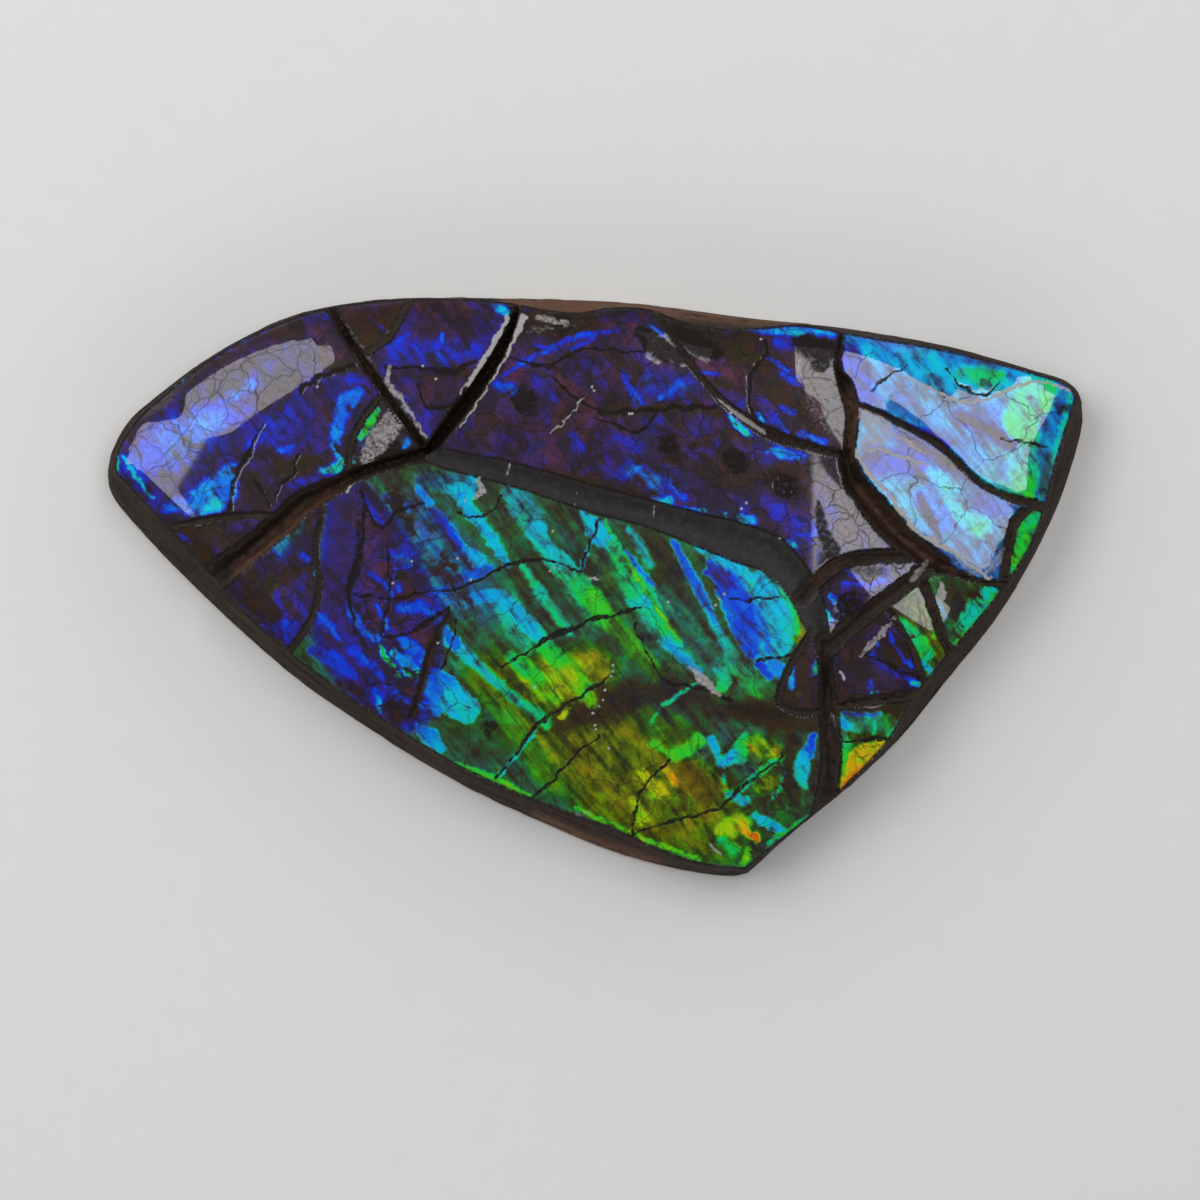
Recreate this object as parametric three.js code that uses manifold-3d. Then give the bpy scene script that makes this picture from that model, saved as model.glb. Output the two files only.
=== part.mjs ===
// Ammolite specimen: a polished freeform slab of ironstone whose face is the iridescent shell of an
// ammonite, broken into plates by rock-filled cracks. It lies on its flat sawn back, face up.
// Millimetres, +Z up. X runs along the slab, Y across it, and Z out of the polished face.

import * as THREE from "three";
import { mergeVertices } from "three/addons/utils/BufferGeometryUtils.js";
import Module from "manifold-3d";

const wasm = await Module();
wasm.setup();

// Driving dimensions of the slab.
const CROWN = 10.0; // greatest height of the polished face over the sawn back
const CROWN_AT = [3, 3]; // where the face is highest
const FALL_ALONG = 0.00095; // how fast the face falls away along X, per mm squared
const FALL_ACROSS = 0.0017; // and along Y
const EDGE_ROUND = 1.5; // how far the polished edge is rounded down
const EDGE_BAND = 7.5; // width of that rounding
const SAW_BEVEL = 0.5; // bevel round the sawn back
const RIM_TOP = 4.6; // height at which the ground rim meets the line of the face

// Driving dimensions of the shell and its cracks.
const SHELL = 0.8; // thickness of the shell layer
const GAP = 0.06; // clearance of a plate to the rock round it
const GROOVE_FOOT = 0.45; // share of a deep groove's width that is left at its floor
const CUT_TOP = 14; // anything over the crown, for the tools that cut
const BLOCK = [104, 64]; // length and width of a block that is larger than the slab
const FINE = 2.3; // grid step of the polished face
const COARSE = 5.0; // grid step of the bed under the shell
const SIDE_STEP = 2.5; // point spacing along the outlines
const CRACK_STEP = 2.4; // point spacing along the cracks

// The edge of the polished face, clockwise from the left tip, one smooth curve to a side.
const FACE_SIDES = [
  [[-48.2, 12.2], [-47.7, 14.0], [-46.0, 16.7], [-43.0, 19.5], [-39.0, 22.6], [-34.5, 25.2],
    [-29.5, 27.3], [-26.7, 28.0], [-22.5, 28.6], [-18.5, 28.9], [-11.5, 28.8]],
  [[-11.5, 28.8], [-8.0, 28.4], [-5.0, 27.8], [-1.5, 27.5], [1.5, 28.0], [5.5, 27.8], [8.5, 26.7],
    [12.5, 25.9], [16.5, 26.0], [20.5, 26.3], [25.5, 25.4], [35.5, 23.7], [44.5, 21.3],
    [46.7, 20.6], [47.9, 19.7], [48.2, 18.7]],
  [[48.2, 18.7], [46.3, 12.7], [44.7, 6.7], [43.3, 3.4], [39.5, -2.0], [34.0, -8.5],
    [32.1, -10.8], [29.3, -15.5], [24.0, -21.0], [17.5, -26.3], [15.1, -28.3]],
  [[15.1, -28.3], [12.0, -28.0], [8.5, -27.2], [0.5, -23.8], [-6.5, -21.2], [-14.0, -17.8],
    [-21.0, -13.5], [-28.5, -8.3], [-34.5, -3.3], [-39.0, 1.7], [-44.5, 7.7], [-46.7, 10.0],
    [-48.0, 11.4], [-48.2, 12.2]],
];

// The widest line of the rock below it, with the same four sides.
const RIM_SIDES = [
  [[-49.3, 12.0], [-48.8, 14.0], [-47.2, 16.8], [-43.9, 19.7], [-39.6, 22.9], [-35.0, 25.6],
    [-29.8, 27.8], [-22.7, 29.0], [-18.7, 29.3], [-11.6, 29.3]],
  [[-11.6, 29.3], [-4.5, 29.2], [5.6, 28.6], [15.7, 27.3], [25.8, 26.2], [35.9, 24.3],
    [44.9, 21.8], [47.6, 20.9], [48.8, 19.9], [49.3, 18.7]],
  [[49.3, 18.7], [49.3, 16.4], [47.3, 9.3], [44.4, 3.1], [41.0, -2.7], [35.9, -9.1],
    [31.3, -14.9], [27.3, -18.8], [20.7, -24.3], [15.5, -29.0]],
  [[15.5, -29.0], [14.1, -29.3], [10.6, -29.0], [2.0, -26.9], [-6.6, -23.3], [-15.2, -19.1],
    [-22.7, -14.5], [-29.8, -9.6], [-36.9, -3.5], [-45.1, 4.7], [-49.1, 9.8], [-49.3, 12.0]],
];

// The cracks between the plates: how deep the rock in each lies below the face, and its course
// as x, y and width.
const CRACKS = {
  mainTrough: { depth: 1.7, course: [[-42.0, -2.4, 2.6], [-38.7, 0.4, 2.6], [-36.7, 2.1, 2.6],
    [-34.3, 3.9, 2.2], [-31.5, 6.3, 2.4], [-28.7, 8.7, 2.2], [-26.0, 10.1, 1.6],
    [-23.0, 11.6, 1.3], [-16.7, 13.5, 1.3]] },
  sliverCrack: { depth: 0.4, course: [[-46.5, 5.2, 0.5], [-41.5, 6.2, 0.5], [-36.5, 7.1, 0.5],
    [-31.0, 7.2, 0.5]] },
  shatteredGroove: { depth: 1.2, course: [[-28.0, 30.0, 0.8], [-26.3, 27.5, 0.8],
    [-24.7, 24.9, 0.9], [-21.5, 20.2, 0.9], [-18.3, 15.7, 0.9], [-16.5, 13.4, 0.9]] },
  branchCrack: { depth: 0.5, course: [[-23.5, 23.0, 0.5], [-20.7, 24.9, 0.5], [-19.5, 26.9, 0.5],
    [-17.9, 30.0, 0.5]] },
  veinCrack: { depth: 0.3, course: [[-25.0, 10.2, 0.4], [-24.6, 12.7, 0.4], [-24.3, 14.7, 0.4],
    [-23.4, 16.5, 0.4], [-20.9, 19.9, 0.4]] },
  deepGroove: { depth: 2.6, course: [[-7.4, 30.2, 0.8], [-8.1, 26.9, 0.9], [-9.0, 24.5, 1.1],
    [-12.1, 19.5, 1.5], [-13.9, 17.2, 1.5], [-16.7, 13.4, 1.2]] },
  longCrack: { depth: 0.6, course: [[4.5, 30.0, 0.5], [6.5, 26.9, 0.5], [9.7, 22.1, 0.5],
    [12.7, 18.6, 0.6], [17.3, 15.4, 1.0], [22.0, 13.9, 0.7], [25.6, 13.0, 0.8]] },
  greyBand: { depth: 0.1, course: [[-17.0, 13.4, 1.4], [-14.5, 12.7, 1.7], [-8.0, 11.2, 2.1],
    [0.5, 8.6, 2.4], [5.5, 7.3, 2.4], [10.5, 5.7, 3.0], [14.5, 4.4, 3.6], [17.7, 3.2, 3.4],
    [19.7, 1.2, 3.0], [21.2, -1.3, 2.6], [22.9, -6.6, 1.4]] },
  rightBand: { depth: 0.7, course: [[22.7, -6.9, 1.4], [25.0, -4.5, 1.6], [29.5, -0.9, 1.4],
    [34.5, 2.7, 1.2]] },
  downBand: { depth: 0.9, course: [[22.9, -5.6, 1.2], [23.1, -9.3, 1.2], [23.4, -12.8, 1.7],
    [23.5, -18.8, 1.8], [22.0, -25.8, 2.0]] },
  crossCrack: { depth: 0.6, course: [[36.0, -9.9, 0.6], [31.0, -11.0, 0.7], [26.0, -11.5, 0.9],
    [22.6, -12.1, 0.9]] },
  roughGroove: { depth: 1.8, course: [[25.1, 13.5, 1.4], [25.7, 10.9, 2.0], [27.3, 8.7, 2.4],
    [29.3, 6.3, 2.6], [31.5, 4.2, 2.4], [34.8, 2.0, 1.6]] },
  valleyCrack: { depth: 0.5, course: [[25.2, 18.6, 0.6], [29.0, 17.1, 0.5], [34.5, 14.1, 0.6],
    [39.0, 10.1, 0.5], [44.5, 8.1, 0.8], [50.0, 7.2, 1.0]] },
  brownStrip: { depth: 0.8, course: [[25.4, 28.0, 0.5], [24.5, 24.2, 0.6], [24.3, 21.9, 0.7],
    [25.1, 19.9, 1.2], [25.7, 17.9, 1.2], [25.2, 12.9, 0.9]] },
  edgeNotch: { depth: 0.6, course: [[44.3, 8.5, 0.7], [42.1, 6.7, 0.8], [41.4, 4.2, 0.8],
    [40.6, -0.1, 0.6]] },
  ridgeFoot: { depth: 0.9, course: [[34.1, 2.3, 1.2], [36.5, 1.2, 0.7], [39.0, 0.5, 0.6],
    [41.7, 0.6, 0.8], [46.5, 2.6, 1.0]] },
  oliveCrack: { depth: 0.7, course: [[32.1, 1.8, 0.8], [33.3, -0.9, 0.8], [34.9, -5.3, 0.7],
    [37.2, -9.0, 0.6]] },
  triangleCrack: { depth: 0.4, course: [[28.6, -1.2, 0.4], [31.7, -6.3, 0.4], [33.4, -11.2, 0.4]] },
  leftCrack: { depth: 0.5, course: [[-27.3, 10.4, 0.4], [-27.2, 7.9, 0.4], [-27.9, 3.7, 0.5],
    [-27.5, 0.2, 0.4], [-28.3, -3.1, 0.5], [-32.0, -8.2, 0.5]] },
  forkedCrack: { depth: 0.5, course: [[22.6, -2.6, 0.5], [20.7, -5.8, 0.4], [19.1, -8.7, 0.5],
    [18.4, -11.6, 0.5], [20.6, -12.6, 0.6], [24.2, -12.2, 0.6]] },
  chipCrack: { depth: 0.7, course: [[20.7, -1.1, 1.2], [22.7, 1.2, 1.1], [25.2, 2.7, 1.1],
    [31.3, 3.2, 1.2]] },
};

// The shell plates: a point inside each, its lift over the polished level and its slope along X and Y.
const PLATES = {
  shell_left_lobe: { at: [-39.5, 15.7], lift: 0.05, slope: [0, 0] },
  shell_left_sliver: { at: [-37.0, 5.4], lift: -0.1, slope: [0, 0.01] },
  shell_brown_wedge: { at: [-22.0, 26.6], lift: -0.15, slope: [0.01, 0] },
  shell_calcite_chip: { at: [-22.0, 14.2], lift: -0.2, slope: [0, 0] },
  shell_top_left: { at: [-14.5, 23.7], lift: 0, slope: [0.008, 0] },
  shell_upper_middle: { at: [2.5, 16.7], lift: 0, slope: [0, 0] },
  shell_shoulder: { at: [17.0, 21.7], lift: 0.1, slope: [0.006, 0] },
  shell_corner: { at: [38.5, 18.7], lift: 0.1, slope: [-0.006, 0.008] },
  shell_ridge: { at: [33.5, 9.7], lift: 0.15, slope: [0, 0.012] },
  shell_right_edge: { at: [43.0, 4.6], lift: -0.15, slope: [0, 0] },
  shell_ribbed: { at: [-3.5, -6.3], lift: 0, slope: [0, 0] },
  shell_lower_left: { at: [-32.0, -0.3], lift: -0.05, slope: [0.006, 0] },
  shell_wedge: { at: [21.2, -9.0], lift: -0.05, slope: [0, 0] },
  shell_rough_chip: { at: [25.5, -0.8], lift: -0.2, slope: [0.012, 0] },
  shell_triangle: { at: [28.5, -7.8], lift: -0.05, slope: [0, 0.01] },
  shell_olive: { at: [32.0, -4.4], lift: -0.1, slope: [0, 0] },
  shell_green: { at: [37.3, -2.3], lift: 0, slope: [0, 0] },
  shell_fan: { at: [27.0, -15.8], lift: 0, slope: [0, 0] },
};

// Colour, roughness and metalness of the materials, from the real thing.
const ROCK = { color: 0x2b2119, roughness: 0.7, metalness: 0 };
const NACRE = { color: 0x2f2a66, roughness: 0.2, metalness: 0.3 };

// A closed three.js geometry as a solid that can be cut and joined.
function toSolid(geometry) {
  const bare = new THREE.BufferGeometry();
  bare.setAttribute("position", geometry.getAttribute("position"));
  bare.setIndex(geometry.index);
  const merged = mergeVertices(bare, 1e-4);
  return new wasm.Manifold(new wasm.Mesh({
    numProp: 3,
    vertProperties: merged.getAttribute("position").array,
    triVerts: new Uint32Array(merged.index.array),
  }));
}

// A solid as a named mesh with its own material.
function toMesh(name, solid, look) {
  const mesh = solid.getMesh();
  const geometry = new THREE.BufferGeometry();
  geometry.setAttribute("position", new THREE.BufferAttribute(new Float32Array(mesh.vertProperties), 3));
  geometry.setIndex(new THREE.BufferAttribute(new Uint32Array(mesh.triVerts), 1));
  geometry.computeVertexNormals();
  const made = new THREE.Mesh(geometry, new THREE.MeshStandardMaterial(look));
  made.name = name;
  return made;
}

// A smooth curve through points; a third number, such as a width, is carried along as z.
function smoothCurve(points) {
  const places = points.map(([x, y, carried = 0]) => new THREE.Vector3(x, y, carried));
  return new THREE.CatmullRomCurve3(places, false, "centripetal");
}

// A closed outline through four sides. Both outlines have the same number of points on a like side.
const SIDE_COUNTS = RIM_SIDES.map((side) => Math.round(smoothCurve(side).getLength() / SIDE_STEP));

function closedOutline(sides) {
  return sides.flatMap((side, i) => smoothCurve(side).getSpacedPoints(SIDE_COUNTS[i]).slice(0, -1));
}

const faceLine = closedOutline(FACE_SIDES);
const rimLine = closedOutline(RIM_SIDES);
const faceEdges = faceLine.map((at, i) => new THREE.Line3(at, faceLine[(i + 1) % faceLine.length]));

function edgeDistance(x, y) {
  const point = new THREE.Vector3(x, y, 0);
  const nearest = new THREE.Vector3();
  const distances = faceEdges.map((edge) => edge.closestPointToPoint(point, true, nearest).distanceTo(point));
  return Math.min(...distances);
}

// Height of the polished face over the sawn back: a low dome, rounded down along its edge.
function faceHeight(x, y) {
  const dome = CROWN - FALL_ALONG * (x - CROWN_AT[0]) ** 2 - FALL_ACROSS * (y - CROWN_AT[1]) ** 2;
  const near = Math.max(0, 1 - edgeDistance(x, y) / EDGE_BAND);
  return dome - EDGE_ROUND * near * near;
}

// The right-hand plates lie in soft waves, as the shell there was buckled before it was polished.
const WAVE_FROM = 22; // x at which the waves begin
const WAVE_LENGTH = 9.5;
const WAVE_HEIGHT = 0.22;
const WAVE_SKEW = 0.55; // how far the crests turn from running along X

function waves(x, y) {
  const strength = THREE.MathUtils.smoothstep(x, WAVE_FROM, WAVE_FROM + WAVE_LENGTH);
  return WAVE_HEIGHT * strength * Math.sin(((WAVE_SKEW * x + y) * 2 * Math.PI) / WAVE_LENGTH);
}

// A block whose top is a height over a square grid, and whose bottom is flat.
function blockUnder(height, step, bottom) {
  const nx = Math.ceil(BLOCK[0] / step);
  const ny = Math.ceil(BLOCK[1] / step);
  const index = (i, j) => j * (nx + 1) + i;
  const grid = new THREE.PlaneGeometry(nx * step, ny * step, nx, ny);
  const top = grid.getAttribute("position");
  const positions = [];
  for (let i = 0; i < top.count; i += 1) {
    positions.push(top.getX(i), top.getY(i), height(top.getX(i), top.getY(i)));
  }
  const border = [];
  for (let i = 0; i < nx; i += 1) border.push(index(i, 0));
  for (let j = 0; j < ny; j += 1) border.push(index(nx, j));
  for (let i = nx; i > 0; i -= 1) border.push(index(i, ny));
  for (let j = ny; j > 0; j -= 1) border.push(index(0, j));
  const faces = [...grid.index.array];
  const centre = top.count + border.length;
  border.forEach((at) => positions.push(top.getX(at), top.getY(at), bottom));
  positions.push(0, 0, bottom);
  border.forEach((at, k) => {
    const next = (k + 1) % border.length;
    faces.push(at, border[next], top.count + k);
    faces.push(border[next], top.count + next, top.count + k);
    faces.push(top.count + next, centre, top.count + k);
  });
  const block = new THREE.BufferGeometry();
  block.setAttribute("position", new THREE.Float32BufferAttribute(positions, 3));
  block.setIndex(faces);
  return toSolid(block);
}

// A closed skin through rings of points that all run counter-clockwise seen from above, bottom ring first.
function loft(rings) {
  const n = rings[0].length;
  const positions = rings.flatMap((ring) => ring.flatMap((p) => [p.x, p.y, p.z]));
  const faces = [];
  for (let r = 0; r + 1 < rings.length; r += 1) {
    for (let i = 0; i < n; i += 1) {
      const a = r * n + i;
      const b = r * n + ((i + 1) % n);
      faces.push(a, b, b + n, a, b + n, a + n);
    }
  }
  const flat = (ring) => ring.map((p) => new THREE.Vector2(p.x, p.y));
  const last = (rings.length - 1) * n;
  THREE.ShapeUtils.triangulateShape(flat(rings[0]), []).forEach(([a, b, c]) => faces.push(a, c, b));
  THREE.ShapeUtils.triangulateShape(flat(rings.at(-1)), []).forEach(([a, b, c]) => {
    faces.push(last + a, last + b, last + c);
  });
  const skin = new THREE.BufferGeometry();
  skin.setAttribute("position", new THREE.Float32BufferAttribute(positions, 3));
  skin.setIndex(faces);
  return toSolid(skin);
}

// The rough-ground body of the slab, up past the crown: sawn back, bevel, bedded rim, then the face's edge.
// Each bed is its height, its share of the way from the rim's widest line to the face's edge, and its ledge.
const LEDGE_TURNS = 0.9; // how fast a ledge comes and goes from point to point round the rim
const BEDS = [
  [SAW_BEVEL, 0, 0],
  [1.7, 0.03, 0.1],
  [2.0, 0.22, -0.15],
  [3.1, 0.35, 0.1],
  [3.4, 0.6, -0.15],
  [RIM_TOP, 1, 0],
  [CUT_TOP, 1, 0],
];

function bodyBlank() {
  const ring = (z, share, ledge) => rimLine.map((rim, i) => {
    const face = faceLine[i];
    const out = 1 + (ledge * Math.sin(i * LEDGE_TURNS)) / Math.hypot(rim.x, rim.y);
    return new THREE.Vector3(
      out * THREE.MathUtils.lerp(rim.x, face.x, share),
      out * THREE.MathUtils.lerp(rim.y, face.y, share),
      z,
    );
  }).reverse();
  const back = rimLine.map((rim) => {
    const inward = 1 - SAW_BEVEL / Math.hypot(rim.x, rim.y);
    return new THREE.Vector3(rim.x * inward, rim.y * inward, 0);
  }).reverse();
  return loft([back, ...BEDS.map((bed) => ring(...bed))]);
}

// A solid along a crack's course, as wide as the crack plus `wider`: its top and its floor lie `top` and
// `floor` over the face, and at the floor it is `foot` of its width.
function ribbon(course, { wider, top, floor, foot = 1 }) {
  const curve = smoothCurve(course);
  const count = Math.max(3, Math.round(curve.getLength() / CRACK_STEP));
  const rows = [[1, 1, top], [-1, 1, top], [-1, foot, floor], [1, foot, floor]];
  const positions = rows.flatMap(([side, share, over]) => {
    const row = [];
    for (let i = 0; i <= count; i += 1) {
      const at = curve.getPointAt(i / count);
      const ahead = curve.getTangentAt(i / count).setZ(0).normalize();
      const reach = (side * share * (at.z + wider)) / 2;
      row.push(at.x - ahead.y * reach, at.y + ahead.x * reach, faceHeight(at.x, at.y) + over);
    }
    return row;
  });
  const n = count + 1;
  const faces = [0, 2 * n, n, 0, 3 * n, 2 * n];
  faces.push(count, n + count, 2 * n + count, count, 2 * n + count, 3 * n + count);
  rows.forEach((row, r) => {
    const a = r * n;
    const b = ((r + 1) % rows.length) * n;
    for (let i = 0; i < count; i += 1) faces.push(a + i, b + i, a + i + 1, b + i, b + i + 1, a + i + 1);
  });
  const tool = new THREE.BufferGeometry();
  tool.setAttribute("position", new THREE.Float32BufferAttribute(positions, 3));
  tool.setIndex(faces);
  return toSolid(tool);
}

function joined(solids) {
  return solids.reduce((all, one) => all.add(one));
}

// The rock: the slab with a bed cut for the shell, the fill left standing in the cracks, and the deeper
// grooves worn down into it.
const body = bodyBlank();
const cracks = Object.values(CRACKS);

function ironstone() {
  const bed = body.intersect(blockUnder((x, y) => faceHeight(x, y) - SHELL - GAP, COARSE, -1));
  const filled = cracks.filter(({ depth }) => depth <= SHELL);
  const worn = cracks.filter(({ depth }) => depth > SHELL);
  const fill = joined(filled.map(({ course, depth }) => ribbon(course, {
    wider: -2 * GAP, top: -depth, floor: -2 * SHELL,
  })));
  const grooves = joined(worn.map(({ course, depth }) => ribbon(course, {
    wider: 0, top: SHELL, floor: -depth, foot: GROOVE_FOOT,
  })));
  return bed.add(fill.intersect(body)).subtract(grooves);
}

// The shell: the layer over the bed, parted by the cracks, each plate with its own level and slope.
function plates() {
  const underShell = blockUnder((x, y) => faceHeight(x, y) - SHELL, COARSE, -1);
  const openCracks = joined(cracks.map(({ course }) => ribbon(course, {
    wider: 0, top: CUT_TOP, floor: -2 * SHELL,
  })));
  const pieces = body.subtract(underShell).subtract(openCracks).decompose();
  return Object.entries(PLATES).map(([name, { at, lift, slope }]) => {
    const pin = toSolid(new THREE.BoxGeometry(0.2, 0.2, 4 * CUT_TOP).translate(at[0], at[1], 0));
    const blank = pieces.find((piece) => piece.intersect(pin).volume() > 0);
    if (!blank) throw new Error(name + " has no shell at its point");
    const level = (x, y) => faceHeight(x, y) + waves(x, y) + lift
      + slope[0] * (x - at[0]) + slope[1] * (y - at[1]);
    return toMesh(name, blank.intersect(blockUnder(level, FINE, -1)), NACRE);
  });
}

// The origin is under the middle of the slab's box, on the sawn back.
const specimen = new THREE.Group();
specimen.add(toMesh("ironstone_matrix", ironstone(), ROCK), ...plates());
const box = new THREE.Box3().setFromObject(specimen);
const middle = box.getCenter(new THREE.Vector3());
specimen.position.set(-middle.x, -middle.y, -box.min.z);

export default specimen;
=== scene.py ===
import math

import bpy
import numpy as np
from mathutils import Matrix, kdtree


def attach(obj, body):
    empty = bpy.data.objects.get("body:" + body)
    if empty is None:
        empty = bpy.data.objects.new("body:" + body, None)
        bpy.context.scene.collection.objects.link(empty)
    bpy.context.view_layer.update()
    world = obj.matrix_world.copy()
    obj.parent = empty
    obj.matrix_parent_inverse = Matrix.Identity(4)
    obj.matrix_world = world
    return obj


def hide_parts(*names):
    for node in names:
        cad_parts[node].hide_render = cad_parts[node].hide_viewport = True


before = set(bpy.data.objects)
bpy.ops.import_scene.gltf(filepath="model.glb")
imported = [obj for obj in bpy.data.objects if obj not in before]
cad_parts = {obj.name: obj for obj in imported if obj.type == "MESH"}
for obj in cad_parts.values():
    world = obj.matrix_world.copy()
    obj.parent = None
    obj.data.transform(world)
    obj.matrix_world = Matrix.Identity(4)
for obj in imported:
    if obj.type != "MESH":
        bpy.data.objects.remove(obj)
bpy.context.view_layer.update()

bl_info = {
    "name": "Ammolite specimen",
    "version": (1, 0, 0),
    "blender": (4, 5, 0),
    "location": "View3D > Sidebar > Ammolite",
    "description": "Polished ammolite slab: iridescent shell plates on brown ironstone",
    "category": "Add Mesh",
}

# Everything is worked out in millimetres and turned to metres where it becomes a mesh.
MM = 0.001

# The slab, as in the solids: the dome of the polished face over the sawn back.
CROWN = 10.0
CROWN_AT = (3.0, 3.0)
FALL_ALONG = 0.00095
FALL_ACROSS = 0.0017
EDGE_ROUND = 1.5
EDGE_BAND = 7.5
SAW_BEVEL = 0.5
RIM_TOP = 4.6
SHELL = 0.8
BED_GAP = 0.06
SHARPER_LOWER_LEFT = 0.55  # how much less width the edge is ground round over along the lower left side
SHARPER_RIGHT = 0.6  # and along the right side

# The edge of the polished face, clockwise from the left tip, one smooth curve to a side.
FACE_SIDES = (
    ((-48.2, 12.2), (-47.7, 14.0), (-46.0, 16.7), (-43.0, 19.5), (-39.0, 22.6), (-34.5, 25.2),
     (-29.5, 27.3), (-26.7, 28.0), (-22.5, 28.6), (-18.5, 28.9), (-11.5, 28.8)),
    ((-11.5, 28.8), (-8.0, 28.4), (-5.0, 27.8), (-1.5, 27.5), (1.5, 28.0), (5.5, 27.8), (8.5, 26.7),
     (12.5, 25.9), (16.5, 26.0), (20.5, 26.3), (25.5, 25.4), (35.5, 23.7), (44.5, 21.3),
     (46.7, 20.6), (47.9, 19.7), (48.2, 18.7)),
    ((48.2, 18.7), (46.3, 12.7), (44.7, 6.7), (43.3, 3.4), (39.5, -2.0), (34.0, -8.5),
     (32.1, -10.8), (29.3, -15.5), (24.0, -21.0), (17.5, -26.3), (15.1, -28.3)),
    ((15.1, -28.3), (12.0, -28.0), (8.5, -27.2), (0.5, -23.8), (-6.5, -21.2), (-14.0, -17.8),
     (-21.0, -13.5), (-28.5, -8.3), (-34.5, -3.3), (-39.0, 1.7), (-44.5, 7.7), (-46.7, 10.0),
     (-48.0, 11.4), (-48.2, 12.2)),
)

# The widest line of the rock below it, with the same four sides.
RIM_SIDES = (
    ((-49.3, 12.0), (-48.8, 14.0), (-47.2, 16.8), (-43.9, 19.7), (-39.6, 22.9), (-35.0, 25.6),
     (-29.8, 27.8), (-22.7, 29.0), (-18.7, 29.3), (-11.6, 29.3)),
    ((-11.6, 29.3), (-4.5, 29.2), (5.6, 28.6), (15.7, 27.3), (25.8, 26.2), (35.9, 24.3),
     (44.9, 21.8), (47.6, 20.9), (48.8, 19.9), (49.3, 18.7)),
    ((49.3, 18.7), (49.3, 16.4), (47.3, 9.3), (44.4, 3.1), (41.0, -2.7), (35.9, -9.1),
     (31.3, -14.9), (27.3, -18.8), (20.7, -24.3), (15.5, -29.0)),
    ((15.5, -29.0), (14.1, -29.3), (10.6, -29.0), (2.0, -26.9), (-6.6, -23.3), (-15.2, -19.1),
     (-22.7, -14.5), (-29.8, -9.6), (-36.9, -3.5), (-45.1, 4.7), (-49.1, 9.8), (-49.3, 12.0)),
)

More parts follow.
